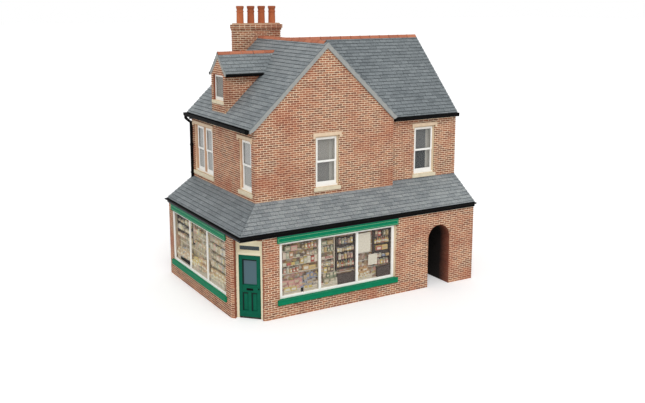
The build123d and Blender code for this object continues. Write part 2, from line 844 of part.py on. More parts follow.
def pieces():
    shell = ground_shell()
    front, left, right, rear, corner = ground_walls(shell)
    passage_left, passage_right, vault = passage_pieces()
    lean_front, lean_left = lean_to_roofs()
    stack_zone = chimney_zone()
    gable, upper_left, right_front_wall, right_end, upper_rear = upper_walls(stack_zone)
    roof_left, roof_right, verge = main_roofs(stack_zone)
    roof_cross_front, roof_cross_rear = cross_roofs()
    solid = main_solid()
    dormer_wall_piece, cheeks, dormer_roof = dormer_pieces()
    lintels, sills = stone_dressings()
    windows, fascias, boards, displays = shop_fronts()
    frame, leaf, step = door_pieces()
    main_gutter, right_gutter = roof_gutters()
    stack, cap, pots = chimney()
    return {
        "ground_front_wall": front, "ground_left_wall": left, "ground_right_wall": right,
        "ground_rear_wall": rear, "corner_wall": corner,
        "passage_left_wall": passage_left, "passage_right_wall": passage_right,
        "passage_vault": vault, "first_floor": first_floor(),
        "lean_to_roof_front": lean_front, "lean_to_roof_left": lean_left,
        "lean_to_gutter": lean_to_gutter(),
        "gable_wall": gable, "upper_left_wall": upper_left, "right_block_wall": right_front_wall,
        "right_end_wall": right_end, "upper_rear_wall": upper_rear,
        "main_roof_left": roof_left - dormer_hatch(), "main_roof_right": roof_right - below_cross_roof(cross_drop, far),
        "gable_verge": verge,
        "cross_roof_front": roof_cross_front - solid,
        "cross_roof_rear": roof_cross_rear - solid - stack_zone,
        "ridge_tiles": ridge_tiles(stack_zone), "dormer_ridge_tiles": dormer_ridge_run(),
        "dormer_front_wall": dormer_wall_piece, "dormer_cheeks": cheeks,
        "dormer_roof": dormer_roof, "dormer_gutters": dormer_gutters(),
        "sash_windows": sash_windows(), "window_lintels": lintels, "window_sills": sills,
        "shop_windows": windows, "fascia_boards": fascias, "stall_boards": boards,
        "window_displays": displays, "door_frame": frame, "door_leaf": leaf, "door_step": step,
        "main_gutter": main_gutter, "right_gutter": right_gutter, "downpipe": downpipe(),
        "chimney_stack": stack, "chimney_cap": cap, "chimney_pots": pots,
    }


os.makedirs("parts", exist_ok=True)
groups = {name: shape if isinstance(shape, list) else [shape]
          for name, shape in pieces().items()}
boxes = [shape.bounding_box() for group in groups.values() for shape in group]
middle_x = (min(box.min.X for box in boxes) + max(box.max.X for box in boxes)) / 2
middle_y = (min(box.min.Y for box in boxes) + max(box.max.Y for box in boxes)) / 2
for name, group in groups.items():
    placed = [Pos(-middle_x, -middle_y, 0) * shape for shape in group]
    export_step(Compound(children=placed), os.path.join("parts", name + ".step"))
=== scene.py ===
import itertools
import math

import bmesh
import bpy
from mathutils import Matrix, Vector


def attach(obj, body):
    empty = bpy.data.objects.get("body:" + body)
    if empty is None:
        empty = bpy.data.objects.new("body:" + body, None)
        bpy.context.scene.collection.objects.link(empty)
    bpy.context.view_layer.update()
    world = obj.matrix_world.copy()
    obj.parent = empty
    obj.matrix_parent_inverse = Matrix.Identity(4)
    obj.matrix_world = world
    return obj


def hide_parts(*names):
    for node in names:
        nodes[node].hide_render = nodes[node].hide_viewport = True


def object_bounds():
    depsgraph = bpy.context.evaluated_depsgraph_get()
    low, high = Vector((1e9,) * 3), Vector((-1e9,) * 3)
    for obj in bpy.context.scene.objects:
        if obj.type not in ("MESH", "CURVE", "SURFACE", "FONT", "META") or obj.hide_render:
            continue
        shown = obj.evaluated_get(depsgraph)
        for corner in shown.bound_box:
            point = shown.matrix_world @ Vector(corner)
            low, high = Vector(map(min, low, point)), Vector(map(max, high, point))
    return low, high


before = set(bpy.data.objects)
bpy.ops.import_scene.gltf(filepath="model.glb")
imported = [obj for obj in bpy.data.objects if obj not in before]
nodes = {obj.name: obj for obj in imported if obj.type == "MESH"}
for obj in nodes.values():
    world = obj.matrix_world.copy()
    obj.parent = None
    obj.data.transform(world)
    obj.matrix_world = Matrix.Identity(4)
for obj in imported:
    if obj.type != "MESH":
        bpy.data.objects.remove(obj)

cadLow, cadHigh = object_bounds()
scene = bpy.context.scene
mm = 0.001
print("frame loaded:", len(nodes), "nodes")


# A node socket that Python can add, multiply and compare; each sum becomes a Math node
class Signal:
    def __init__(self, socket):
        self.socket = socket

    def maths(self, operation, first, second=0.0):
        wiring = Wiring(self.socket.id_data)
        return wiring.node("ShaderNodeMath", {"operation": operation}, {0: first, 1: second})

    def other(self, name):
        return Signal(self.socket.node.outputs[name])

    def __add__(self, value):
        return self.maths("ADD", self, value)

    def __radd__(self, value):
        return self.maths("ADD", value, self)

    def __sub__(self, value):
        return self.maths("SUBTRACT", self, value)

    def __rsub__(self, value):
        return self.maths("SUBTRACT", value, self)

    def __mul__(self, value):
        return self.maths("MULTIPLY", self, value)

    def __rmul__(self, value):
        return self.maths("MULTIPLY", value, self)

    def __truediv__(self, value):
        return self.maths("DIVIDE", self, value)

    def __rtruediv__(self, value):
        return self.maths("DIVIDE", value, self)

    def __mod__(self, value):
        return self.maths("FLOORED_MODULO", self, value)

    def __lt__(self, value):
        return self.maths("LESS_THAN", self, value)

    def __gt__(self, value):
        return self.maths("GREATER_THAN", self, value)

    def floor(self):
        return self.maths("FLOOR", self)

    def ceil(self):
        return self.maths("CEIL", self)

    def clamped(self):
        return self.maths("MAXIMUM", self.maths("MINIMUM", self, 1.0), 0.0)


class Wiring:
    def __init__(self, tree):
        self.tree = tree

    def node(self, kind, settings=None, sockets=None, output=0):
        made = self.tree.nodes.new(kind)
        for name, value in (settings or {}).items():
            if name == "stops":
                ramp = made.color_ramp.elements
                while len(ramp) < len(value):
                    ramp.new(0.5)
                for element, (place, colour) in zip(ramp, value):
                    element.position = place
                    element.color = linear(colour)
            else:
                setattr(made, name, value)
        for key, value in (sockets or {}).items():
            if isinstance(value, Signal):
                self.tree.links.new(value.socket, made.inputs[key])
            else:
                made.inputs[key].default_value = value
        return Signal(made.outputs[output]) if made.outputs else made

    def vector(self, x, y, z):
        return self.node("ShaderNodeCombineXYZ", None, {0: x, 1: y, 2: z})

    def parts(self, vector):
        x = self.node("ShaderNodeSeparateXYZ", None, {0: vector})
        return x, x.other("Y"), x.other("Z")


# Finishes, kept by name; every colour is given from 0 to 255

finishes = {}


def linear(colour):
    # a colour as a shader socket takes it
    channels = ((c / 255 / 12.92) if c <= 10 else ((c / 255 + 0.055) / 1.055) ** 2.4
                for c in colour)
    return (*channels, 1.0)


class Finish(Wiring):
    def __init__(self, name, roughness=0.6, **constants):
        self.material = finishes[name] = bpy.data.materials.new(name)
        self.material.use_nodes = True
        super().__init__(self.material.node_tree)
        self.shader = self.tree.nodes["Principled BSDF"]
        self.shader.inputs["Roughness"].default_value = roughness
        for socket, value in constants.items():
            self.shader.inputs[socket.replace("_", " ")].default_value = value
        self.place = self.node("ShaderNodeTexCoord", output="Object")

    def attribute(self, name):
        return self.node("ShaderNodeAttribute", {"attribute_name": name}, output="Fac")

    def noise(self, size, detail=3.0, stretch=None, roughness=0.5):
        # blotches about size across, in millimetres
        place = self.place
        if stretch:
            place = self.node("ShaderNodeVectorMath", {"operation": "MULTIPLY"},
                              {0: place, 1: stretch})
        return self.node("ShaderNodeTexNoise", None,
                         {"Vector": place, "Scale": 1 / (size * mm), "Detail": detail,
                          "Roughness": roughness})

    def ramp(self, value, *stops):
        return self.node("ShaderNodeValToRGB", {"stops": stops}, {0: value})

    def mix(self, factor, first, second):
        first, second = (linear(value) if isinstance(value, tuple) else value
                         for value in (first, second))
        return self.node("ShaderNodeMix", {"data_type": "RGBA"}, {0: factor, 6: first, 7: second},
                         output=2)

    def bump(self, height, depth):
        # height runs from 0 to 1 over depth, in millimetres
        return self.node("ShaderNodeBump", None, {"Strength": 1.0, "Distance": depth * mm,
                                                  "Height": height})

    def wear(self, **sockets):
        for name, value in sockets.items():
            self.tree.links.new(value.socket, self.shader.inputs[name.replace("_", " ")])


brickTones = {
    "light": (190, 128, 92),
    "middle": (158, 96, 66),
    "dark": (126, 74, 52),
    "burnt": (102, 60, 46),
    "bloom": (238, 214, 180),
    # the near-black of the painted shade deep in the passage
    "red": (150, 74, 52),
    "passageShade": (6, 3, 2),
    "grit": 0.16,
}


def brickFinish(name, passageShaded=False):
    finish = Finish(name, roughness=0.82)
    grit = finish.noise(brickTones["grit"], 4.0)
    cloud = finish.noise(6, 2.0)
    shade = (finish.attribute("tone") * 0.6 + grit * 0.5 + cloud * 0.3 - 0.22).clamped()
    base = finish.ramp(shade, (0.0, brickTones["burnt"]), (0.25, brickTones["dark"]),
                       (0.58, brickTones["middle"]), (1.0, brickTones["light"]))
    bloom = (finish.noise(0.45, 3.0) > 0.62) * 0.4
    colour = finish.mix(bloom, base, brickTones["bloom"])
    colour = finish.mix(weathered(finish) * 0.45, colour, brickTones["red"])
    # painted shade: the passage's bricks darken the further in from either mouth
    if passageShaded:
        red = finish.mix(0.6, colour, brickTones["red"])
        colour = finish.mix(sootShare(finish, 0.0), red, brickTones["passageShade"])
    finish.wear(Base_Color=colour, Normal=finish.bump(grit, 0.03))


def weathered(finish):
    # broad patches where the wall is redder and its joints less pale
    return (finish.noise(7, 3.0) * 4.4 - 2.0).clamped()


def sootShare(finish, atMouth):
    # painted shade in the passage: darker the further in from either mouth
    _, y, _ = finish.parts(finish.place)
    near = y - cadLow.y - 1.7 * mm
    far = cadHigh.y - y
    inward = near.maths("MINIMUM", near, far) / (4.6 * mm) + finish.noise(3) * 0.3 - 0.15
    return inward.clamped() * (0.99 - atMouth) + atMouth


def mortarFinish(name, passageShaded=False):
    finish = Finish(name, roughness=0.9)
    grain = finish.noise(0.12, 3.0)
    colour = finish.mix(grain, (240, 216, 178), (255, 243, 216))
    colour = finish.mix(weathered(finish) * 0.62, colour, (206, 144, 110))
    # painted shade: the passage's joints darken the further in from either mouth
    if passageShaded:
        red = finish.mix(0.8, colour, brickTones["red"])
        colour = finish.mix(sootShare(finish, 0.25), red, brickTones["passageShade"])
    finish.wear(Base_Color=colour, Normal=finish.bump(grain, 0.03))


slateTones = {
    "deep": (78, 86, 90),
    "middle": (121, 128, 131),
    "pale": (166, 171, 171),
}


# shift paints a whole slope darker or lighter: painted shade or painted light on that slope
def slateFinish(name, shift):
    finish = Finish(name, roughness=0.5)
    tone = finish.attribute("tone")
    cleft = finish.noise(0.3, 5.0, roughness=0.7)
    cloud = finish.noise(9, 2.0)
    shade = (tone * 0.24 + cleft * 1.6 + cloud * 0.3 - (0.57 - shift)).clamped()
    colour = finish.ramp(shade, (0.0, slateTones["deep"]), (0.5, slateTones["middle"]),
                         (1.0, slateTones["pale"]))
    finish.wear(Base_Color=colour, Roughness=finish.noise(1.5, 2.0) * 0.25 + 0.42,
                Normal=finish.bump(cleft, 0.03))


# a flat coat of each colour: clean, where it is worn, and how else it differs
coats = {
    "slateBed": ((48, 54, 60), (66, 72, 78), {}),
    "verge": ((144, 149, 149), (168, 167, 161), {"roughness": 0.8}),
    "terracotta": ((176, 96, 66), (150, 78, 54), {"roughness": 0.75}),
    "creamStone": ((232, 220, 194), (214, 200, 170), {"roughness": 0.75}),
    # the door step's dark paint is a painted shadow under the door
    "stepPaint": ((62, 56, 50), (44, 40, 36), {"roughness": 0.75}),
    "lintelPaint": ((234, 210, 182), (214, 188, 158), {"roughness": 0.75}),
    "surroundPaint": ((224, 206, 178), (208, 186, 158), {"roughness": 0.8}),
    "sideSurroundPaint": ((206, 166, 136), (188, 146, 116), {"roughness": 0.8}),
    "shadedBrick": ((128, 70, 52), (160, 98, 72), {"size": 0.9, "roughness": 0.85}),
    "flaunching": ((196, 164, 138), (164, 124, 98), {"size": 0.9, "roughness": 0.9}),
    "whitePaint": ((252, 251, 247), (240, 238, 232), {"roughness": 0.5}),
    "creamPaint": ((250, 242, 212), (240, 230, 196), {"roughness": 0.5}),
    "greenPaint": ((4, 132, 92), (3, 116, 80), {"roughness": 0.5, "Specular_IOR_Level": 0.1}),
    "borderPaint": ((150, 206, 164), (126, 184, 142), {}),
    "doorPaint": ((5, 100, 76), (4, 86, 64), {"roughness": 0.5, "Specular_IOR_Level": 0.12}),
    # the near-black green of the door's painted shadow lines
    "edgePaint": ((4, 34, 28), (3, 26, 22), {"roughness": 0.7}),
    "blackPaint": ((6, 6, 7), (16, 15, 15), {"Specular_IOR_Level": 0.06}),
    "floorBoards": ((120, 96, 72), (96, 74, 54), {}),
    "netCloth": ((232, 228, 218), (216, 212, 202), {"size": 0.5, "roughness": 0.9}),
    "shelfWood": ((232, 222, 204), (204, 190, 166), {"size": 0.6}),
    "darkWood": ((96, 84, 80), (70, 60, 58), {"size": 0.6}),
    "priceCard": ((236, 230, 214), (214, 204, 184), {"size": 0.5}),
}


def coatFinish(name, base, worn, size=1.2, roughness=0.6, **constants):
    finish = Finish(name, roughness=roughness, **{"Specular_IOR_Level": 0.25, **constants})
    fine = finish.noise(size / 6, 3.0)
    colour = finish.mix((finish.noise(size, 4.0) * 1.6 - 0.3).clamped(), base, worn)
    finish.wear(Base_Color=colour, Normal=finish.bump(fine, 0.02),
                Roughness=fine * 0.16 + (roughness - 0.08))


def glassFinish(name, colour, alpha, roughness=0.04):
    finish = Finish(name, roughness=roughness, Base_Color=linear(colour), IOR=1.5, Alpha=alpha)
    finish.wear(Normal=finish.bump(finish.noise(2.5, 2.0), 0.01),
                Roughness=finish.noise(1.0, 2.0) * 0.08 + roughness)


def displayTone(finish, colour):
    # painted light and shade: the left window's contents are painted paler, and the front one's
    # darker
    x, _, _ = finish.parts(finish.place)
    atLeft = x < cadLow.x + 6 * mm
    colour = finish.mix((1 - atLeft) * 0.16, colour, (52, 50, 48))
    return finish.mix(atLeft * 0.24, colour, (232, 236, 206))


def backingFinish():
    # a printed backing card: loose blocks of stock colours between pale shelf lines
    finish = Finish("displayCard", roughness=0.8, Specular_IOR_Level=0.15)
    cells = finish.node("ShaderNodeTexVoronoi", {"feature": "F1"},
                        {"Vector": finish.place, "Scale": 1 / (0.8 * mm), "Randomness": 0.9},
                        output="Color")
    pick, shade, _ = finish.parts(cells)
    colour = finish.ramp(pick, (0.0, (214, 190, 150)), (0.2, (170, 128, 96)),
                         (0.35, (232, 222, 204)), (0.5, (150, 150, 132)),
                         (0.65, (224, 168, 152)), (0.8, (120, 104, 96)), (1.0, (230, 206, 140)))
    _, _, z = finish.parts(finish.place)
    colour = finish.mix(shade * 0.35, colour, (96, 84, 76))
    colour = finish.mix((z % (2.3 * mm)) < 0.16 * mm, colour, (236, 230, 216))
    finish.wear(Base_Color=displayTone(finish, colour))


def goodsFinish():
    finish = Finish("goods", roughness=0.55)
    tone, part = finish.attribute("tone"), finish.attribute("part")
    grain = finish.noise(0.2, 3.0)
    body = finish.ramp(tone, (0.0, (232, 206, 110)), (0.14, (214, 176, 128)),
                       (0.28, (196, 78, 66)), (0.4, (244, 236, 214)), (0.52, (138, 152, 120)),
                       (0.64, (238, 176, 164)), (0.76, (92, 78, 70)), (0.88, (240, 206, 132)),
                       (1.0, (150, 160, 184)))
    label = finish.mix(tone, (250, 244, 226), (206, 176, 128))
    lid = finish.mix(grain, (170, 166, 158), (220, 214, 202))
    colour = finish.mix(part > 0.75, finish.mix(part > 0.25, body, label), lid)
    colour = displayTone(finish, finish.mix(grain * 0.2, colour, (110, 98, 86)))
    finish.wear(Base_Color=colour, Roughness=grain * 0.2 + 0.45)


def blindFinish():
    # blind cloth whose tone paints the shade of the room behind the glass: near black where
    # darkest, white where lightest
    finish = Finish("blindCloth", roughness=0.9, Specular_IOR_Level=0.1)
    weave = finish.noise(0.5, 4.0)
    colour = finish.ramp(finish.attribute("part") + weave * 0.1 - 0.05, (0.0, (24, 23, 25)),
                         (0.45, (120, 122, 124)), (0.75, (204, 199, 190)), (1.0, (250, 249, 246)))
    finish.wear(Base_Color=colour, Normal=finish.bump(weave, 0.02))


def ridgeFinish():
    finish = Finish("ridgeClay", roughness=0.75)
    grain = finish.noise(0.4, 4.0)
    stain = finish.noise(3, 3.0)
    shade = (finish.attribute("tone") * 0.4 + grain * 0.5 + stain * 0.3 - 0.1).clamped()
    colour = finish.ramp(shade, (0.0, (126, 72, 54)), (0.5, (176, 104, 74)),
                         (1.0, (204, 134, 100)))
    finish.wear(Base_Color=colour, Normal=finish.bump(grain, 0.04))


def potFinish():
    # streaked clay, smoky near the top and black in the bore
    finish = Finish("potClay", roughness=0.8, Specular_IOR_Level=0.3)
    grain = finish.noise(0.3, 4.0)
    streak = finish.noise(0.7, 3.0, (1.0, 1.0, 0.25))
    _, _, z = finish.parts(finish.place)
    smoke = ((z - (cadHigh.z - 2.2 * mm)) / (2.2 * mm)).clamped() * streak
    shade = (finish.attribute("tone") * 0.25 + grain * 0.4 + streak * 0.5 - 0.1).clamped()
    colour = finish.ramp(shade, (0.0, (136, 70, 42)), (0.5, (182, 98, 60)), (1.0, (210, 136, 88)))
    colour = finish.mix(smoke * 0.55, colour, (96, 54, 40))
    colour = finish.mix(finish.attribute("part"), colour, (24, 18, 16))
    finish.wear(Base_Color=colour, Normal=finish.bump(grain, 0.03))


for name, (base, worn, more) in coats.items():
    coatFinish(name, base, worn, **more)
# the passage's bricks and mortar carry painted shade that deepens away from the mouths
for name, passageShaded in (("brickFace", False), ("sootyBrick", True)):
    brickFinish(name, passageShaded)
for name, passageShaded in (("mortar", False), ("sootyMortar", True)):
    mortarFinish(name, passageShaded)
# slates painted darker for shade on the cross and lean-to left slopes, and lighter for light on
# the lean-to front
for name, shift in (("slateFace", 0.0), ("dullSlate", -0.14), ("paleSlate", 0.14)):
    slateFinish(name, shift)
for name, colour, alpha, roughness in (("windowGlass", (96, 100, 100), 0.2, 0.04),
                                       ("shopGlass", (120, 118, 112), 0.06, 0.04),
                                       ("transomGlass", (52, 66, 70), 1.0, 0.12),
                                       ("doorGlass", (70, 98, 108), 1.0, 0.15)):
    glassFinish(name, colour, alpha, roughness)
for makeFinish in (backingFinish, goodsFinish, blindFinish, ridgeFinish, potFinish):
    makeFinish()
print("finishes made:", len(finishes))


# Pieces

def addObject(name, data):
    made = bpy.data.objects.new(name, data)
    scene.collection.objects.link(made)
    return made


def keepPiece(mesh, name, finish, replaced=()):
    # a list of meshes is joined into one; finish None leaves the mesh's own material
    mesh = joined(mesh) if isinstance(mesh, list) else mesh
    piece = addObject(name, mesh)
    if finish:
        mesh.materials.clear()
        mesh.materials.append(finishes[finish])
        mesh.polygons.foreach_set("material_index", [0] * len(mesh.polygons))
    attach(piece, "root")
    if replaced:
        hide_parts(*replaced)


def solidCopy(node):
    # the node's own mesh with its loose triangles joined into clean faces
    mesh = nodes[node].data.copy()
    mesh.materials.clear()
    shape = bmesh.new()
    shape.from_mesh(mesh)
    bmesh.ops.remove_doubles(shape, verts=shape.verts, dist=0.001 * mm)
    bmesh.ops.dissolve_limit(shape, angle_limit=math.radians(0.5), verts=shape.verts,
                             edges=shape.edges)
    shape.to_mesh(mesh)
    shape.free()
    return mesh


def meshOf(shape, smooth=False):
    mesh = bpy.data.meshes.new("shape")
    shape.to_mesh(mesh)
    shape.free()
    if smooth:
        mesh.polygons.foreach_set("use_smooth", [True] * len(mesh.polygons))
    return mesh


def joined(meshes):
    shape = bmesh.new()
    for mesh in meshes:
        shape.from_mesh(mesh)
    return meshOf(shape)


def moved(mesh, place):
    mesh.transform(place)
    return mesh


def shifted(mesh, x, y, z):
    return moved(mesh, Matrix.Translation(Vector((x, y, z)) * mm))


def throughModifier(mesh, kind, setUp):
    # mesh as a modifier of this kind leaves it, as a plain mesh again
    carrier = addObject("carrier", mesh)
    setUp(carrier.modifiers.new("change", kind))
    bpy.context.view_layer.update()
    graph = bpy.context.evaluated_depsgraph_get()
    made = bpy.data.meshes.new_from_object(carrier.evaluated_get(graph),
                                           preserve_all_data_layers=True, depsgraph=graph)
    bpy.data.objects.remove(carrier)
    return made


def eased(mesh, ease, segments=2):
    # sharp edges rounded
    def setUp(bevel):
        bevel.width = ease * mm
        bevel.segments = segments

    return throughModifier(mesh, "BEVEL", setUp)


def grown(mesh, tree, values):
    # what a tree of nodes makes of mesh
    def setUp(modifier):
        modifier.node_group = tree
        for item in tree.interface.items_tree:
            if item.in_out == "INPUT" and item.name in values:
                modifier[item.identifier] = values[item.name]

    made = throughModifier(mesh, "NODES", setUp)
    if "unitTone" in made.attributes:
        made.attributes.remove(made.attributes["unitTone"])
    return made


def boxMesh(boxes, ease=0.0, segments=2):
    # boxes are (left, right, front, back, foot, top) in millimetres
    shape = bmesh.new()
    for left, right, front, back, foot, top in boxes:
        size = Vector((right - left, back - front, top - foot)) * mm
        middle = Vector((left + right, front + back, foot + top)) * mm / 2
        bmesh.ops.create_cube(shape, matrix=Matrix.Translation(middle)
                              @ Matrix.Diagonal((*size, 1.0)))
    mesh = meshOf(shape)
    return eased(mesh, ease, segments) if ease else mesh


def drumMesh(radius, height, foot=0.0, sides=10):
    shape = bmesh.new()
    bmesh.ops.create_cone(shape, cap_ends=True, segments=sides, radius1=radius * mm,
                          radius2=radius * mm, depth=height * mm,
                          matrix=Matrix.Translation((0, 0, (foot + height / 2) * mm)))
    return meshOf(shape)


def bridged(shape, near, far):
    # a band of faces between two closed outlines of as many points
    count = len(near)
    for index in range(count):
        after = (index + 1) % count
        corners = [near[index], near[after], far[after], far[index]]
        shape.faces.new(list(dict.fromkeys(corners)))


def prismMesh(outline, length):
    # an outline in X and Z, drawn out along Y, all in millimetres
    shape = bmesh.new()
    ends = [[shape.verts.new((x * mm, y * mm, z * mm)) for x, z in outline]
            for y in (0.0, length)]
    shape.faces.new(ends[0])
    shape.faces.new(list(reversed(ends[1])))
    bridged(shape, *ends)
    bmesh.ops.recalc_face_normals(shape, faces=shape.faces)
    return meshOf(shape)


def markedFaces(mesh, value):
    # which part of a thing its faces belong to: 0 its body, 0.5 its label, 1 its lid
    layer = mesh.attributes.new("part", "FLOAT", "FACE")
    for item in layer.data:
        item.value = value
    return mesh


def solidsOf(node):
    # lowest and highest corner of each separate solid in a node, from the left, in millimetres
    shape = bmesh.new()
    shape.from_mesh(solidCopy(node))
    left = set(shape.verts)
    found = []
    while left:
        group, queue = set(), [left.pop()]
        while queue:
            vertex = queue.pop()
            group.add(vertex)
            for edge in vertex.link_edges:
                near = edge.other_vert(vertex)
                if near in left:
                    left.remove(near)
                    queue.append(near)
        places = [vertex.co / mm for vertex in group]
        found.append((Vector(map(min, *places)), Vector(map(max, *places))))
    shape.free()
    return sorted(found, key=lambda corners: tuple(corners[0]))


def cornersOf(node):
    return [vertex.co / mm for vertex in nodes[node].data.vertices]


def aroundOpening(left, right, foot, top, width, front, back):
    return [(left, left + width, front, back, foot, top),
            (right - width, right, front, back, foot, top),
            (left + width, right - width, front, back, foot, foot + width),
            (left + width, right - width, front, back, top - width, top)]


# Trees of Geometry Nodes

class Growth(Wiring):
    def __init__(self, name, given):
        tree = bpy.data.node_groups.new(name, "GeometryNodeTree")
        tree.is_modifier = True
        for kind, sockets in given.items():
            for socket in sockets:
                tree.interface.new_socket(socket, in_out="INPUT",
                                          socket_type="NodeSocket" + kind)
        tree.interface.new_socket("Made", in_out="OUTPUT", socket_type="NodeSocketGeometry")
        super().__init__(tree)
        self.given = self.node("NodeGroupInput")
        self.seed = self.given.other("Seed")

    def turned(self, geometry, axis, angle):
        rotation = self.node("FunctionNodeAxisAngleToRotation", None,
                             {"Axis": axis, "Angle": angle})
        return self.node("GeometryNodeTransform", None,
                         {"Geometry": geometry, "Rotation": rotation})

    def random(self, low, high, draw):
        return self.node("FunctionNodeRandomValue", {"data_type": "FLOAT"},
                         {2: low, 3: high, "Seed": self.seed + draw}, output=1)

    def shaken(self, points, low, high):
        # each point moved by the jitter times a place drawn between low and high
        shake = self.node("FunctionNodeRandomValue", {"data_type": "FLOAT_VECTOR"},
                          {0: low, 1: high, "Seed": self.seed})
        offset = self.node("ShaderNodeVectorMath", {"operation": "SCALE"},
                           {0: shake, "Scale": self.given.other("Jitter")})
        return self.node("GeometryNodeSetPosition", None,
                         {"Geometry": points, "Offset": offset})

    def toned(self, units, lowest):
        # the instances made real, each with a tone of its own on all its faces
        marked = self.node("GeometryNodeStoreNamedAttribute",
                           {"data_type": "FLOAT", "domain": "INSTANCE"},
                           {"Geometry": units, "Name": "unitTone",
                            "Value": self.random(lowest, 1.0, 2.0)})
        loose = self.node("GeometryNodeRealizeInstances", None, {0: marked})
        tone = self.node("GeometryNodeInputNamedAttribute", {"data_type": "FLOAT"},
                         {"Name": "unitTone"})
        return self.node("GeometryNodeStoreNamedAttribute",
                         {"data_type": "FLOAT", "domain": "FACE"},
                         {"Geometry": loose, "Name": "tone", "Value": tone})

    def finished(self, geometry):
        real = self.node("GeometryNodeRealizeInstances", None, {0: geometry})
        made = self.node("GeometryNodeSetMaterial", None,
                         {"Geometry": real, "Material": self.given.other("Finish")})
        self.node("NodeGroupOutput", None, {0: made})
        return self.tree


def courseTree():
    # lays bricks or slates on a face of the backing and cuts them to its outline
    w = Growth("laidCourses", {
        "Geometry": ["Backing"],
        "Float": ["Turn", "Lean", "First Course", "Length", "Course", "Joint", "Proud", "Lap",
                  "Bed", "Chamfer", "Jitter"],
        "Int": ["Seed"], "Material": ["Finish"]})
    given = w.given.other

    # stand the backing up so that the face to be covered looks along -Y
    turned = w.turned(given("Backing"), (0, 0, 1), given("Turn"))
    upright = w.turned(turned, (1, 0, 0), given("Lean"))
    low = w.node("GeometryNodeBoundBox", None, {0: upright}, output="Min")
    lowX, lowY, lowZ = w.parts(low)
    highX, _, highZ = w.parts(low.other("Max"))

    # the cutter is the backing with that face drawn straight out
    _, placeY, _ = w.parts(w.node("GeometryNodeInputPosition"))
    cutter = w.node("GeometryNodeExtrudeMesh", None,
                    {"Mesh": upright, "Selection": placeY < lowY + 0.01 * mm,
                     "Offset": (0.0, -1.0, 0.0), "Offset Scale": 1.0 * mm, "Individual": False})

    length, course = given("Length"), given("Course")
    joint, chamfer = given("Joint"), given("Chamfer")
    columns = ((highX - lowX) / length).ceil() + 1
    firstRow = ((lowZ - given("First Course")) / course + 0.001).floor()
    rows = ((highZ - lowZ) / course).ceil() + 1
    index = w.node("GeometryNodeInputIndex")
    row = (index / columns + 0.0001).floor() + firstRow
    column = index - (row - firstRow) * columns
    across = lowX + (column + 0.5 - (row % 2.0) * 0.5) * length
    up = (row + 0.5) * course + given("First Course")
    points = w.node("GeometryNodePoints", None,
                    {"Count": columns * rows, "Position": w.vector(across, lowY, up)})

    # one unit: a block whose front edges are chamfered and whose foot stands further out
    proud, bed, lap = given("Proud"), given("Bed"), given("Lap")
    wide, tall = length - joint, course - joint
    block = w.node("GeometryNodeMeshCube", None,
                   {"Size": w.vector(wide, bed + proud - chamfer, tall)})
    seated = w.node("GeometryNodeTransform", None,
                    {"Geometry": block,
                     "Translation": w.vector(0.0, (bed - proud + chamfer) * 0.5, 0.0)})
    _, facing, _ = w.parts(w.node("GeometryNodeInputNormal"))
    raised = w.node("GeometryNodeExtrudeMesh", None,
                    {"Mesh": seated, "Selection": facing < -0.5, "Offset": (0.0, -1.0, 0.0),
                     "Offset Scale": chamfer})
    spotX, spotY, spotZ = w.parts(w.node("GeometryNodeInputPosition"))
    narrowed = w.node("GeometryNodeSetPosition", None,
                      {"Geometry": raised, "Selection": raised.other("Top"),
                       "Position": w.vector(spotX * (1.0 - chamfer * 2.0 / wide), spotY,
                                            spotZ * (1.0 - chamfer * 2.0 / tall))})
    unit = w.node("GeometryNodeSetPosition", None,
                  {"Geometry": narrowed, "Selection": spotY < 0.0,
                   "Offset": w.vector(0.0, lap * (spotZ / tall - 0.5), 0.0)})

    # lay the units with a little unevenness, and cut them where the face ends
    twist = w.node("FunctionNodeAxisAngleToRotation", None,
                   {"Axis": (0.0, 1.0, 0.0), "Angle": w.random(-0.012, 0.012, 1.0)})
    laid = w.node("GeometryNodeInstanceOnPoints", None,
                  {"Points": w.shaken(points, (-1.0, -1.0, -1.0), (1.0, 1.0, 1.0)),
                   "Instance": unit, "Rotation": twist})
    units = w.toned(laid, 0.02)
    trimmed = w.node("GeometryNodeMeshBoolean",
                     {"operation": "INTERSECT", "solver": "MANIFOLD"}, {1: cutter})
    w.tree.links.new(units.socket, trimmed.socket.node.inputs[1])

    # back to where the backing stands
    leaned = w.turned(trimmed, (1, 0, 0), given("Lean") * -1.0)
    return w.finished(w.turned(leaned, (0, 0, 1), given("Turn") * -1.0))


def rowTree():
    # sets one unit out again and again along a line
    w = Growth("unitRow", {"Geometry": ["Unit"], "Int": ["Count", "Seed"],
                           "Vector": ["Start", "Step"], "Float": ["Jitter", "Squash"],
                           "Material": ["Finish"]})
    place = w.node("ShaderNodeVectorMath", {"operation": "MULTIPLY_ADD"},
                   {0: w.given.other("Step"), 1: w.node("GeometryNodeInputIndex"),
                    2: w.given.other("Start")})
    points = w.node("GeometryNodePoints", None,
                    {"Count": w.given.other("Count"), "Position": place})
    squash = 1.0 - w.random(0.0, 1.0, 1.0) * w.given.other("Squash")
    laid = w.node("GeometryNodeInstanceOnPoints", None,
                  {"Points": w.shaken(points, (-1.0, -1.0, 0.0), (1.0, 1.0, 0.0)),
                   "Instance": w.given, "Scale": w.vector(1.0, 1.0, squash)})
    return w.finished(w.toned(laid, 0.0))


courses = courseTree()
rows = rowTree()


def coursesOn(backing, turn, lean, seed, finish, laying, first=0.0):
    return grown(backing, courses, {**laying, "Turn": turn, "Lean": lean, "Seed": seed,
                                    "First Course": first, "Finish": finishes[finish]})


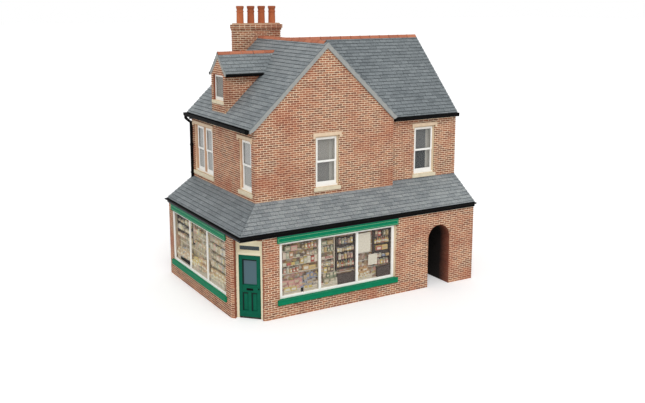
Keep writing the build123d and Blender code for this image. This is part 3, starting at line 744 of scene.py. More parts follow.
def layCourses(backing, name, turn, lean, seed, finish, laying):
    # rows start at the ground on a wall, and at the eaves on a roof
    stand = Matrix.Rotation(lean, 3, "X") @ Matrix.Rotation(turn, 3, "Z")
    eaves = min((stand @ vertex.co).z for vertex in backing.vertices) if lean else 0.0
    keepPiece(coursesOn(backing, turn, lean, seed, finish, laying, eaves), name, None)


def rowOf(unit, count, start, step, seed, jitter=0.0, squash=0.0):
    # start, step and jitter in millimetres
    return grown(unit, rows, {"Count": count, "Start": Vector(start) * mm,
                              "Step": Vector(step) * mm, "Jitter": jitter * mm,
                              "Squash": squash, "Seed": seed,
                              "Finish": finishes["terracotta"]})


# Brickwork: 65 mm bricks at the building's scale, in stretcher bond

brickLaying = {
    "Length": 1.875 * mm,
    "Course": 0.625 * mm,
    "Joint": 0.16 * mm,
    "Proud": 0.07 * mm,
    "Lap": 0.0,
    "Bed": 0.12 * mm,
    "Chamfer": 0.03 * mm,
    "Jitter": 0.012 * mm,
}

# which way each wall faces, as the turn that brings it to face the front
toFront, toLeft, toRear, toRight = 0.0, math.pi / 2, math.pi, -math.pi / 2
walls = {
    "ground_front_wall": [toFront, toRight],
    "ground_left_wall": [toLeft],
    "ground_right_wall": [toRight],
    "ground_rear_wall": [toRear, toLeft, toRight],
    "corner_wall": [math.pi / 4],
    "gable_wall": [toFront, toLeft, toRight],
    "upper_left_wall": [toLeft, toRear],
    "right_block_wall": [toFront, toRight],
    "right_end_wall": [toRight],
    "upper_rear_wall": [toRear, toRight],
    "dormer_front_wall": [toLeft, toFront, toRear],
    "dormer_cheeks": [toFront, toRear],
    "chimney_stack": [toFront, toLeft, toRear, toRight],
}
seeds = itertools.count(1, 5)


def namedFaces(node, kind, turns):
    # each face of a node that is covered, with its piece's name
    return [(node + kind + (str(index) if len(turns) > 1 else ""), turn)
            for index, turn in enumerate(turns)]


for node, turns in walls.items():
    for name, turn in namedFaces(node, "_bricks", turns):
        layCourses(solidCopy(node), name, turn, 0.0, next(seeds), "brickFace",
                   brickLaying)

passageLining = {
    "bed": 0.25,
    "proud": 0.02,
    "mouthInset": 0.02,
    "archSteps": 32,
}


def linePassage():
    # brick linings run from one mouth of the passage to the other, over jambs and arch
    p = passageLining
    vaultLow, vaultHigh = solidsOf("passage_vault")[0]
    middle = (vaultLow.x + vaultHigh.x) / 2
    left = solidsOf("passage_left_wall")[0][1].x + p["proud"]
    right = solidsOf("passage_right_wall")[0][0].x - p["proud"]
    radius = (right - left) / 2
    spring = vaultHigh.z - (vaultHigh.x - vaultLow.x) / 2
    front, back = solidsOf("ground_front_wall")[0][0].y, solidsOf("ground_rear_wall")[0][1].y
    beds, bricks = [], []
    for turn, low, high in ((toRight, left - p["bed"], left), (toLeft, right, right + p["bed"])):
        beds.append(boxMesh([(low, high, front + p["mouthInset"], back - p["mouthInset"],
                              0, spring)]))
        bricks.append(coursesOn(beds[-1], turn, 0.0, 150, "sootyBrick", brickLaying))

    # the arch is laid flat and then bent to its radius
    rise = math.pi * radius
    course = rise / round(rise * mm / brickLaying["Course"]) * mm
    flat = boxMesh([(0, back - front, 0, p["bed"], 0, rise)])
    arch = coursesOn(flat, toFront, 0.0, 155, "sootyBrick", {**brickLaying, "Course": course})
    for vertex in arch.vertices:
        along, deep, up = vertex.co / mm
        angle = up / radius
        vertex.co = Vector((middle + (radius + deep) * math.cos(angle), back - along,
                            spring + (radius + deep) * math.sin(angle))) * mm
    angles = [math.pi * k / p["archSteps"] for k in range(p["archSteps"] + 1)]
    outline = [(middle + reach * math.cos(angle), spring + reach * math.sin(angle))
               for reach, turns in ((radius + p["bed"], angles), (radius, angles[::-1]))
               for angle in turns]
    beds.append(shifted(prismMesh(outline, back - front - 2 * p["mouthInset"]),
                        0, front + p["mouthInset"], 0))
    keepPiece(bricks + [arch], "passage_lining_bricks", "sootyBrick")
    keepPiece(beds, "passage_lining_bed", "sootyMortar")


linePassage()

# how far each course of the chimney cap stands out, from the lowest up
capSteps = (0.25, 0.5, 0.5)


def layCapCourses():
    # each course is a block of its own, faced on four sides
    low, high = solidsOf("chimney_cap")[0]
    stackLow, stackHigh = solidsOf("chimney_stack")[0]
    bricks, beds = [], []
    height = (high.z - low.z) / len(capSteps)
    for level, step in enumerate(capSteps):
        foot = low.z + level * height
        block = boxMesh([(stackLow.x - step, stackHigh.x + step, stackLow.y - step, high.y,
                          foot, foot + height)])
        beds.append(block)
        bricks += [coursesOn(block, turn, 0.0, 200 + level * 7, "brickFace",
                             {**brickLaying, "Course": height * mm}, foot * mm)
                   for turn in (toFront, toLeft, toRear, toRight)]
    keepPiece(bricks, "chimney_cap_bricks", "brickFace", ["chimney_cap"])
    keepPiece(beds, "chimney_cap_bed", "mortar")


layCapCourses()
print("bricks laid")


# Slates, laid up each slope to half a slate's bond

slateLaying = {
    "Length": 2.6 * mm,
    "Course": 1.315 * mm,
    "Joint": 0.08 * mm,
    "Proud": 0.08 * mm,
    "Lap": 0.14 * mm,
    "Bed": 0.1 * mm,
    "Chamfer": 0.02 * mm,
    "Jitter": 0.018 * mm,
}

# which way each slope falls, and its slates, painted darker or lighter per slope as light and
# shade fall on it
slopes = {
    "main_roof_left": ([toLeft], "slateFace"),
    "main_roof_right": ([toRight], "slateFace"),
    "cross_roof_front": ([toFront], "dullSlate"),
    "cross_roof_rear": ([toRear], "slateFace"),
    "lean_to_roof_front": ([toFront], "paleSlate"),
    "lean_to_roof_left": ([toLeft], "dullSlate"),
    "dormer_roof": ([toFront, toRear], "slateFace"),
}


def leanOf(mesh, turn):
    # the turn about X that stands up the largest face falling that way
    stand = Matrix.Rotation(turn, 3, "Z")
    falling = [face for face in mesh.polygons
               if face.normal.z > 0.1 and (stand @ face.normal).y < -0.1]
    return math.asin(max(falling, key=lambda face: face.area).normal.z)


def overVerge(mesh):
    # the slates run on over the verge at the front
    near = min(vertex.co.y for vertex in mesh.vertices)
    front = min(vertex.co.y for vertex in nodes["gable_verge"].data.vertices)
    for vertex in mesh.vertices:
        if vertex.co.y < near + 0.01 * mm:
            vertex.co.y = front


for node, (turns, finish) in slopes.items():
    for name, turn in namedFaces(node, "_slates", turns):
        mesh = solidCopy(node)
        if node.startswith("main_roof"):
            overVerge(mesh)
        layCourses(mesh, name, turn, leanOf(mesh, turn), next(seeds), finish,
                   slateLaying)
print("slates laid")


# Windows

class Gathered(dict):
    # meshes by the name of the piece that they are to be part of
    def put(self, name, mesh, place):
        self.setdefault(name, []).append(moved(mesh, place))


def windowPlaces(node):
    # for each solid: width, height, and where its lower left corner stands, seen from outside
    places = []
    for low, high in solidsOf(node):
        size = high - low
        if size.x > size.y:
            places.append((size.x, size.z, "front", Matrix.Translation(low * mm)))
        else:
            corner = Vector((low.x, high.y, low.z)) * mm
            place = Matrix.Translation(corner) @ Matrix.Rotation(-math.pi / 2, 4, "Z")
            places.append((size.y, size.z, "left", place))
    return places


sashParts = {
    "stile": 0.55,
    "topRail": 0.65,
    "meetingRail": 0.6,
    "bottomRail": 1.05,
    "surround": {"single": 0.45, "left": 0.95, "pair": 1.5},
    "surroundEdge": 0.45,
    "surroundBack": 0.6,
    "mullion": 1.7,
    "sashDepth": 0.22,
    "curtainShare": 0.34,
    "blindDepth": {"gable": 0.92, "right": 0.92, "left": 0.52, "dormer": 0.3},
    # painted light and shade: how pale the sheet behind the upper and the lower sash is painted,
    # for the room's shade seen through each window
    "behind": {"gable": (0.74, 0.6), "right": (0.5, 0.2), "left": (1.0, 0.92),
               "dormer": (0.66, 0.66)},
    "dormerTallest": 10.0,
    "dormerForward": 0.5,
    "dormerRecess": 1.0,
    "pairNarrowest": 12.0,
    "folds": 3,
    "foldDepth": 0.11,
    "ease": 0.05,
}


def sashFrame(left, right, foot, top, halved):
    # upper sash in front, lower sash behind it
    p = sashParts
    stile, depth, half = p["stile"], p["sashDepth"], p["meetingRail"] / 2
    middle = (foot + top) / 2
    upperFoot = middle - half if halved else foot
    boxes = [(left, left + stile, 0, depth, upperFoot, top),
             (right - stile, right, 0, depth, upperFoot, top),
             (left, right, 0.02, depth, top - p["topRail"], top)]
    if not halved:
        boxes.append((left, right, 0.02, depth, foot, foot + p["bottomRail"]))
        return boxes, [(left + 0.1, right - 0.1, 0.12, 0.18, foot + 0.1, top - 0.1)]
    back = 2 * depth
    boxes += [(left, right, 0.02, depth, upperFoot, middle + half),
              (left, left + stile, depth * 0.7, back, foot, middle),
              (right - stile, right, depth * 0.7, back, foot, middle),
              (left, right, depth * 0.6, back, foot, foot + p["bottomRail"])]
    return boxes, [(left + 0.1, right - 0.1, back - 0.1, back - 0.04, foot + 0.1, middle),
                   (left + 0.1, right - 0.1, depth - 0.09, depth - 0.03, middle, top - 0.1)]


def drape(left, right, foot, top, depth):
    # a thin curtain in soft folds
    folds = sashParts["folds"]
    columns = 6 * folds
    shape = bmesh.new()
    hems = []
    for z in (foot, top):
        hems.append([])
        for index in range(columns + 1):
            share = index / columns
            wave = math.sin(2 * math.pi * folds * share + 1.1 * math.sin(5 * share))
            y = depth + sashParts["foldDepth"] * wave
            corner = Vector((left + (right - left) * share, y, z)) * mm
            hems[-1].append(shape.verts.new(corner))
    low, high = hems
    for index in range(columns):
        shape.faces.new([low[index], low[index + 1], high[index + 1], high[index]])
    return meshOf(shape)


def lineReveals(width, height, place, deep, name):
    # the bricks turn in at both sides of an opening set back from the wall's face
    made = Gathered()
    for turn, low, high in ((toRight, -0.25, 0.03), (toLeft, width - 0.03, width + 0.25)):
        backing = boxMesh([(low, high, -deep - 0.02, 0.0, 0, height)])
        made.put("_bricks", coursesOn(backing, turn, 0.0, 170, "brickFace", brickLaying), place)
        made.put("_bed", backing, place)
    for kind, meshes in made.items():
        keepPiece(meshes, name + kind, "shadedBrick")


def makeSashWindows():
    p = sashParts
    gableRight = max(corner.x for corner in cornersOf("gable_verge")) * mm
    made = Gathered()
    for width, height, facing, place in windowPlaces("sash_windows"):
        dormer, pair = height < p["dormerTallest"], width > p["pairNarrowest"]
        kind = "dormer" if dormer else facing
        if facing == "front":
            kind = "gable" if place.translation.x < gableRight else "right"
        depth = p["blindDepth"][kind]
        side, edge = 0.0, 0.0
        if dormer:
            lineReveals(width, height, place, p["dormerRecess"], "dormer_reveal")
            place = place @ Matrix.Translation((0, -p["dormerForward"] * mm, 0))
        else:
            side = p["surround"]["pair" if pair else "left" if facing == "left" else "single"]
            edge = p["surroundEdge"]
        head, back = height - edge, p["surroundBack"]
        lights = 2 if pair else 1
        light = (width - 2 * side - (lights - 1) * p["mullion"]) / lights
        if not dormer:
            made.put("sash_frames", boxMesh([(0, width, 0.06, back, 0, edge)], 0.04), place)
            flat = [(0, width, 0.12, back, head, height), (0, side, 0.1, back, edge, head),
                    (width - side, width, 0.1, back, edge, head)]
            if pair:
                mullionLeft = side + light
                flat.append((mullionLeft, mullionLeft + p["mullion"], 0.1, back, edge, head))
            made.put(facing + "_sash_surrounds", boxMesh(flat, 0.04), place)
        for index in range(lights):
            left = side + index * (light + p["mullion"])
            boxes, glass = sashFrame(left, left + light, edge, head, not dormer)
            made.put("sash_frames", boxMesh(boxes, p["ease"]), place)
            made.put("sash_panes", boxMesh(glass), place)
            split = left + light * (1 - p["curtainShare"])
            for (foot, top), pale in zip(((height / 2, head), (edge, height / 2)),
                                         p["behind"][kind]):
                # a blind sheet painted with the room's shade behind this sash
                sheet = boxMesh([(left, split + 0.4, depth, depth + 0.06, foot, top)])
                made.put("window_blinds_and_shade", markedFaces(sheet, pale), place)
            made.put("window_nets", drape(split - 0.2, left + light, edge, head, depth + 0.12),
                     place)
    for name, finish, slot, *replaced in (
            ("sash_frames", "whitePaint", "window_paint", "sash_windows"),
            ("front_sash_surrounds", "surroundPaint", "stone"),
            ("left_sash_surrounds", "sideSurroundPaint", "stone"),
            ("sash_panes", "windowGlass", "window_paint"),
            ("window_blinds_and_shade", "blindCloth", "display_card"),
            ("window_nets", "netCloth", "display_card")):
        keepPiece(made[name], name, finish, replaced)


makeSashWindows()
print("sash windows made")


# Ridge tiles: angled tiles with a roll along the top, each lapping a collar over the next

ridgeTiles = {
    "length": 3.75,
    "joint": 0.1,
    "reach": {"ridge_tiles": 0.78, "dormer_ridge_tiles": 0.64},
    "thick": 0.24,
    "roll": 0.15,
    "collar": 0.4,
    "collarWider": 0.05,
    "collarProud": 0.05,
    "jitter": 0.02,
}


def ridgeTile(reach, slope, length, proud):
    p = ridgeTiles
    lift = p["thick"] * math.hypot(1, slope) + proud
    rollZ = lift - slope * p["roll"] * 0.7
    angles = [math.pi * (1 - step / 6) for step in range(7)]
    roll = [(p["roll"] * math.cos(angle), rollZ + p["roll"] * math.sin(angle))
            for angle in angles]
    edge = -slope * reach
    return prismMesh([(-reach, edge - 0.04), (-reach, edge + lift), *roll, (reach, edge + lift),
                      (reach, edge - 0.04), (0.0, -0.04)], length)


def ridgeRun(name, roof, turn, start, end, seed):
    # from start to end, a straight level line of tiles over the crown of a roof
    p = ridgeTiles
    reach = p["reach"][name]
    slope = math.tan(math.pi / 2 - leanOf(solidCopy(roof), turn))
    run = (end - start).length
    count = max(1, round(run / p["length"]))
    length = run / count
    tile = joined([ridgeTile(reach, slope, length - p["joint"], 0.0),
                   ridgeTile(reach + p["collarWider"], slope, p["collar"], p["collarProud"])])
    row = rowOf(tile, count, (0.0, 0.0, 0.0), (0.0, length, 0.0), seed, p["jitter"])
    way = math.atan2((end - start).y, (end - start).x) - math.pi / 2
    return moved(row, Matrix.Translation(start * mm) @ Matrix.Rotation(way, 4, "Z"))


def crownOf(node):
    return max(cornersOf(node), key=lambda corner: corner.z)


def makeRidges():
    low, high = solidsOf("ridge_tiles")[0]
    crown, cross = crownOf("gable_verge"), crownOf("cross_roof_front")
    runs = [ridgeRun("ridge_tiles", "main_roof_left", toLeft, Vector((crown.x, low.y, crown.z)),
                     Vector((crown.x, high.y, crown.z)), 301),
            ridgeRun("ridge_tiles", "cross_roof_front", toFront,
                     Vector((crown.x + 0.2, cross.y, cross.z)), Vector((high.x, cross.y, cross.z)),
                     302)]
    keepPiece(runs, "ridge_tile_rows", "ridgeClay", ["ridge_tiles"])
    low, high = solidsOf("dormer_ridge_tiles")[0]
    top = crownOf("dormer_roof")
    run = ridgeRun("dormer_ridge_tiles", "dormer_roof", toFront, Vector((low.x, top.y, top.z)),
                   Vector((high.x, top.y, top.z)), 303)
    keepPiece(run, "dormer_ridge_tile_row", "ridgeClay", ["dormer_ridge_tiles"])


makeRidges()
print("ridge tiles laid")


# Shop windows: moulded frames, thin glass, and stocked shelves in front of the display card

shopParts = {
    "strip": {"front": 0.45, "left": 0.0},
    "stile": {"front": 0.6, "left": 0.5},
    "mullion": {"front": 0.52, "left": 0.34},
    "rail": {"front": 0.6, "left": 0.55},
    "lights": 3,
    "frameDepth": 0.5,
    "bead": 0.14,
    "paneInset": 0.05,
    "cardDepth": {"front": 1.5, "left": 1.85},
    "bayInset": 0.15,
}


def shopFrame(width, height, side):
    # what each piece of the window is made of, and how far its edges are rounded
    p = shopParts
    strip, stile, mullion = p["strip"][side], p["stile"][side], p["mullion"][side]
    depth, bead, rail, inset = p["frameDepth"], p["bead"], p["rail"][side], p["paneInset"]
    inner, head = strip + stile, height - rail
    boxes = [(strip, inner, 0, depth, 0, height),
             (width - inner, width - strip, 0, depth, 0, height),
             (inner, width - inner, 0.03, depth, 0, rail),
             (inner, width - inner, 0.03, depth, head, height)]
    pane = (width - 2 * inner - (p["lights"] - 1) * mullion) / p["lights"]
    beads, panes = [], []
    for index in range(p["lights"]):
        left = inner + index * (pane + mullion)
        right = left + pane
        if index:
            boxes.append((left - mullion, left, 0.02, depth, rail, head))
        beads += [(left, left + bead, 0.16, depth, rail, head),
                  (right - bead, right, 0.16, depth, rail, head),
                  (left + bead, right - bead, 0.17, depth, rail, rail + bead),
                  (left + bead, right - bead, 0.17, depth, head - bead, head)]
        panes.append((left + inset, right - inset, 0.3, 0.34, rail + inset, head - inset))
    made = [("shop_frames", boxes, 0.08), ("shop_frames", beads, 0.04), ("shop_panes", panes, 0.0)]
    if strip:
        made.append(("shop_reveal_strips", [(0, strip, 0.05, 0.9, 0, height),
                                            (width - strip, width, 0.05, 0.9, 0, height)], 0.04))
    return made


# each kind's pitch on a shelf, and its parts: 0 marks a body, 0.5 a label, 1 a lid
stockKinds = {
    "tin": (0.68, (0.0, drumMesh, 0.3, 0.95), (0.5, drumMesh, 0.307, 0.5, 0.22),
            (1.0, drumMesh, 0.312, 0.06, 0.92)),
    "packet": (0.92, (0.0, boxMesh, [(-0.42, 0.42, -0.2, 0.2, 0, 1.35)], 0.03),
               (0.5, boxMesh, [(-0.3, 0.3, -0.22, 0.0, 0.5, 1.05)])),
    "jar": (0.82, (0.0, drumMesh, 0.37, 1.05), (1.0, drumMesh, 0.28, 0.18, 1.05),
            (0.5, boxMesh, [(-0.2, 0.2, -0.385, 0.0, 0.3, 0.75)])),
    "bottle": (0.6, (0.0, drumMesh, 0.25, 0.95), (0.0, drumMesh, 0.11, 0.4, 0.95),
               (1.0, drumMesh, 0.125, 0.09, 1.32), (0.5, drumMesh, 0.257, 0.4, 0.28)),
    "carton": (1.7, (0.0, boxMesh, [(-0.8, 0.8, -0.25, 0.25, 0, 1.05)], 0.03),
               (0.5, boxMesh, [(-0.55, 0.55, -0.27, 0.0, 0.25, 0.78)])),
    "loaf": (1.1, (0.0, boxMesh, [(-0.5, 0.5, -0.26, 0.26, 0, 0.6)], 0.18, 3)),
}
# how much wider and taller the stock is made than it is drawn above
stockWider, stockTaller = 1.2, 1.45
stock = {name: (moved(joined([markedFaces(make(*sizes), part) for part, make, *sizes in parts]),
                      Matrix.Diagonal((stockWider, 1.0, stockTaller, 1.0))), pitch * stockWider)
         for name, (pitch, *parts) in stockKinds.items()}

# each window's bays from its left: what stands on the shelves, from the top down, and below them
displays = {
    "front": [
        {"shelves": (0.0, 1.0), "from": 0.42, "dark": False,
         "stock": [("carton", "jar"), ("packet", "loaf", "tin"), ("loaf", "packet"),
                   ("jar", "carton")],
         "below": [("heap", 0.0, 0.62, 0.62, 0.7), ("heap", 0.5, 1.0, 0.94, 1.0),
                   ("crate", 0.05, 0.5), ("crate", 0.58, 0.95)]},
        {"shelves": (0.0, 0.42), "from": 0.3, "dark": False,
         "stock": [("carton",), ("jar",), ("loaf",), ("tin",), ("packet",)],
         "dresser": (0.46, 1.0),
         "below": [("crate", 0.0, 0.48), ("counter", 0.5, 1.0), ("heap", 0.1, 0.5, 0.48, 0.56)]},
        {"cards": [(0.03, 0.4, 0.56, 0.92), (0.34, 0.6, 0.3, 0.5)], "shelves": (0.5, 1.0),
         "from": 0.28, "dark": True,
         "stock": [("packet", "jar"), ("bottle",), ("carton",), ("tin", "loaf"), ("jar",)],
         "below": [("heap", 0.0, 0.4, 0.1, 0.16), ("crate", 0.02, 0.45), ("counter", 0.62, 1.0)]},
    ],
    "left": [
        {"shelves": (0.0, 1.0), "from": 0.5, "dark": True,
         "stock": [("loaf", "packet"), ("jar", "tin"), ("carton",)],
         "below": [("heap", 0.0, 1.0, 0.1, 0.18), ("heap", 0.2, 0.9, 0.94, 1.0)]},
        {"shelves": (0.0, 1.0), "from": 0.55, "dark": False,
         "stock": [("packet", "carton"), ("loaf", "jar")],
         "below": [("heap", 0.0, 0.6, 0.0, 0.1), ("heap", 0.35, 1.0, 0.12, 0.2),
                   ("crate", 0.1, 0.9)]},
        {"shelves": (0.0, 1.0), "from": 0.34, "dark": False,
         "stock": [("jar", "packet"), ("packet",), ("carton", "jar"), ("jar",)],
         "below": [("heap", 0.0, 1.0, 0.06, 0.2), ("crate", 0.1, 0.85)]},
    ],
}

shelving = {
    "headroom": 0.9,
    "sideTop": 0.7,
    "depth": 0.7,
    "thick": 0.14,
    "side": 0.2,
    "rows": (0.3, 0.55),
    "dresserStock": ("bottle", "jar", "tin", "jar"),
    "dresserFoot": 0.3,
    "dresserRise": (0.36, 0.14),
    "dresserDepth": 0.75,
    "dresserSide": 0.3,
    "cardPlace": (0.5, 0.56),
    "heapStock": ("packet", "loaf", "carton", "loaf"),
    "heapStart": (0.75, 1.9),
    "heapStep": (0.18, 0.62),
    "heapBlock": {"front": 0.9, "foot": 0.7, "top": 2.9},
    "crateStock": ("loaf", "tin", "carton"),
    "crate": {"front": 0.48, "back": 0.8, "foot": 0.72, "top": 2.1},
    "cratesTaller": 0.25,
    "slatPitch": 0.5,
    "slat": 0.4,
    "cratePost": 0.16,
    "counter": {"front": 0.62, "foot": 0.72, "top": 3.4, "slab": 0.2},
    "board": (0.45, 0.72),
}


def stockShelf(kinds, left, right, foot, back, seed):
    made = []
    share = (right - left) / len(kinds)
    for index, kind in enumerate(kinds):
        unit, pitch = stock[kind]
        count = int(share / pitch)
        start = left + index * share + pitch / 2 + (share - count * pitch) / 2
        made += [rowOf(unit, count, (start, back - depth, foot), (pitch, 0.0, 0.0),
                       seed + index * 3 + int(depth * 10), 0.04, 0.35)
                 for depth in shelving["rows"]]
    return made


def crateBoxes(left, right, front, back, foot, top):
    p = shelving
    slats = [(left, right, front, front + 0.08, foot + k * p["slatPitch"],
              foot + k * p["slatPitch"] + p["slat"])
             for k in range(max(1, round((top - foot) / p["slatPitch"])))]
    return slats + [(x, x + p["cratePost"], front - 0.05, back, foot, top)
                    for x in (left, right - p["cratePost"])]


def heapRows(left, right, tones, number, seed):
    # rows of goods, each behind and above the last, in a narrow range of tones
    p = shelving
    low, high = tones
    made = []
    kinds = p["heapStock"]
    for step in range(len(kinds)):
        unit, pitch = stock[kinds[(step + number) % len(kinds)]]
        front, foot = (start + step * more for start, more in zip(p["heapStart"], p["heapStep"]))
        row = rowOf(unit, int((right - left) / pitch), (left + pitch / 2, front, foot),
                    (pitch, 0.0, 0.06), seed + 80 + 7 * number + step, 0.12, 0.5)
        for item in row.attributes["tone"].data:
            item.value = low + item.value * (high - low)
        made.append(row)
    return made


def dressBay(bay, left, right, height, back, seed):
    # one third of a window: shelves, dresser, cards, and what stands on the window board
    p = shelving

    def span(shares):
        return [left + (right - left) * share for share in shares]

    pale, dark, goods = [], [], []
    wood = dark if bay["dark"] else pale
    x0, x1 = span(bay["shelves"])
    floorZ, front, side = height * bay["from"], back - p["depth"], p["side"]
    rise = (height - p["headroom"] - floorZ) / len(bay["stock"])
    if bay["dark"]:
        dark.append((x0, x1, back - 0.1, back + 0.02, floorZ, height - p["sideTop"]))
    for level, kinds in enumerate(bay["stock"]):
        foot = height - p["headroom"] - (level + 1) * rise
        wood.append((x0, x1, front, back, foot - p["thick"], foot))
        goods += stockShelf(kinds, x0 + side, x1 - side, foot, back, seed + 10 * level)
    wood += [(x, x + side, front, back, floorZ - 0.1, height - p["sideTop"])
             for x in (x0, x1 - side)]
    if "dresser" in bay:
        x0, x1 = span(bay["dresser"])
        floorZ, front, side = p["dresserFoot"] * height, back - p["dresserDepth"], p["dresserSide"]
        dark.append((x0, x1, back - 0.12, back + 0.01, floorZ, height - 1.6))
        for level, kind in enumerate(p["dresserStock"]):
            foot = height * (p["dresserRise"][0] + p["dresserRise"][1] * level)
            dark.append((x0, x1, front, back, foot - 0.12, foot))
            goods += stockShelf([kind], x0 + side, x1 - side, foot, back, seed + 60 + level)
        dark += [(x, x + side, front, back, floorZ, height - 1.4) for x in (x0, x1 - side)]
    cards = [(*span(shares[:2]), *p["cardPlace"], height * shares[2], height * shares[3])
             for shares in bay.get("cards", ())]
    block, crate, counter = p["heapBlock"], p["crate"], p["counter"]
    for number, (kind, *shares) in enumerate(bay["below"]):
        x0, x1 = span(shares[:2])
        if kind == "heap":
            goods += heapRows(x0, x1, shares[2:], number, seed)
            pale.append((x0, x1, block["front"], back - 0.1, block["foot"], block["top"]))
        elif kind == "crate":
            pale += crateBoxes(x0, x1, crate["front"], crate["back"], crate["foot"],
                               crate["top"] + p["cratesTaller"] * (number % 2))
            unit, pitch = stock[p["crateStock"][number % 3]]
            goods.append(rowOf(unit, int((x1 - x0 - 0.3) / pitch),
                               (x0 + 0.15 + pitch / 2, 0.72, 1.5), (pitch, 0.0, 0.0),
                               seed + 95 + number, 0.06, 0.3))
        else:
            front, top = counter["front"], counter["top"]
            dark += [(x0, x1, front, back - 0.05, counter["foot"], top),
                     (x0 - 0.1, x1, front - 0.06, back, top, top + counter["slab"])]
    return goods, [("display_shelves", pale, 0.03), ("display_dressers", dark, 0.03),
                   ("price_cards", cards, 0.01)]


def makeShopWindows():
    p = shopParts
    made = Gathered()
    for number, (width, height, side, place) in enumerate(windowPlaces("shop_windows")):
        boxed = shopFrame(width, height, side)
        inner, back = p["strip"][side] + p["stile"][side], p["cardDepth"][side]
        boxed.append(("display_shelves", [(inner, width - inner, 0.42, back, *shelving["board"])],
                      0.03))
        bay = (width - 2 * inner) / p["lights"]
        for third, dressing in enumerate(displays[side]):
            left = inner + third * bay + p["bayInset"]
            goods, wood = dressBay(dressing, left, left + bay - 2 * p["bayInset"], height, back,
                                   400 + number * 900 + third * 200)
            boxed += wood
            for mesh in goods:
                made.put("display_goods", mesh, place)
        for name, boxes, ease in boxed:
            if boxes:
                made.put(name, boxMesh(boxes, ease), place)
    for name, finish, slot, *replaced in (
            ("shop_frames", "whitePaint", "window_paint", "shop_windows"),
            ("shop_panes", "shopGlass", "window_paint"),
            ("shop_reveal_strips", "surroundPaint", "stone"),
            ("display_shelves", "shelfWood", "display_card"),
            ("display_dressers", "darkWood", "display_card"),
            ("display_goods", "goods", "display_card"),
            ("price_cards", "priceCard", "display_card")):
        keepPiece(made[name], name, finish, replaced)


makeShopWindows()
print("shop windows stocked")


# The corner door, its frame and the light over it

doorParts = {
    "frameDepth": 0.6,
    "jamb": 0.98,
    "head": 1.6,
    "bar": 1.15,
    "light": 1.75,
    "leafDepth": 0.5,
    "stile": 1.0,
    "topRail": 1.15,
    "glassHeight": 7.3,
    "lockRail": 2.15,
    "panelHeight": 5.3,
    "muntin": 0.85,
    "sunk": 0.34,
    "bead": 0.16,
    "recess": 1.0,
    "shift": 0.18,
    "shadowLine": 0.34,
    "plate": (1.9, 0.62),
    "plateLift": 0.62,
    "knob": 0.2,
    "knobDrop": 0.9,
}


def cornerPlace(node):
    # width and height of a piece on the cut corner, and where its lower left corner stands
    turn = Matrix.Rotation(math.pi / 4, 3, "Z")
    places = [turn @ vertex.co for vertex in nodes[node].data.vertices]
    low, high = Vector(map(min, *places)), Vector(map(max, *places))
    place = Matrix.Rotation(-math.pi / 4, 4, "Z") @ Matrix.Translation(low)
    return (high - low).x / mm, (high - low).z / mm, place


def makeDoorFrame():
    p = doorParts
    w, h, place = cornerPlace("door_frame")
    lineReveals(w, h, place, p["recess"], "doorway_reveal")
    deep, left, right = p["frameDepth"], p["jamb"] - p["shift"], w - p["jamb"]
    lightTop = h - p["head"]
    lightFoot = lightTop - p["light"]
    barFoot = lightFoot - p["bar"]
    boxes = [(0, left, 0, deep, 0, h), (right, w, 0, deep, 0, h),
             (left, right, 0.02, deep, lightTop, h),
             (left, right, 0.02, deep, barFoot, lightFoot),
             (p["jamb"] - 0.3, right + 0.3, -0.14, 0.1, barFoot + 0.25, lightFoot - 0.35)]
    boxes += aroundOpening(left, right, lightFoot, lightTop, 0.3, 0.12, deep)
    keepPiece(moved(boxMesh(boxes, 0.07), place), "door_frame_members", "creamPaint",
              ["door_frame"])
    light = boxMesh([(left + 0.2, right - 0.2, 0.34, 0.4, lightFoot + 0.2, lightTop - 0.2)])
    keepPiece(moved(light, place), "transom_pane", "transomGlass")


def knobMesh(place):
    radius = doorParts["knob"]
    shape = bmesh.new()
    bmesh.ops.create_uvsphere(shape, u_segments=16, v_segments=10, radius=radius * mm,
                              matrix=Matrix.Translation((0, -0.22 * mm, 0)))
    bmesh.ops.create_cone(shape, cap_ends=True, segments=16, radius1=0.12 * mm,
                          radius2=0.09 * mm, depth=0.22 * mm,
                          matrix=Matrix.Translation((0, -0.05 * mm, 0))
                          @ Matrix.Rotation(math.pi / 2, 4, "X"))
    return shifted(meshOf(shape, smooth=True), *place)


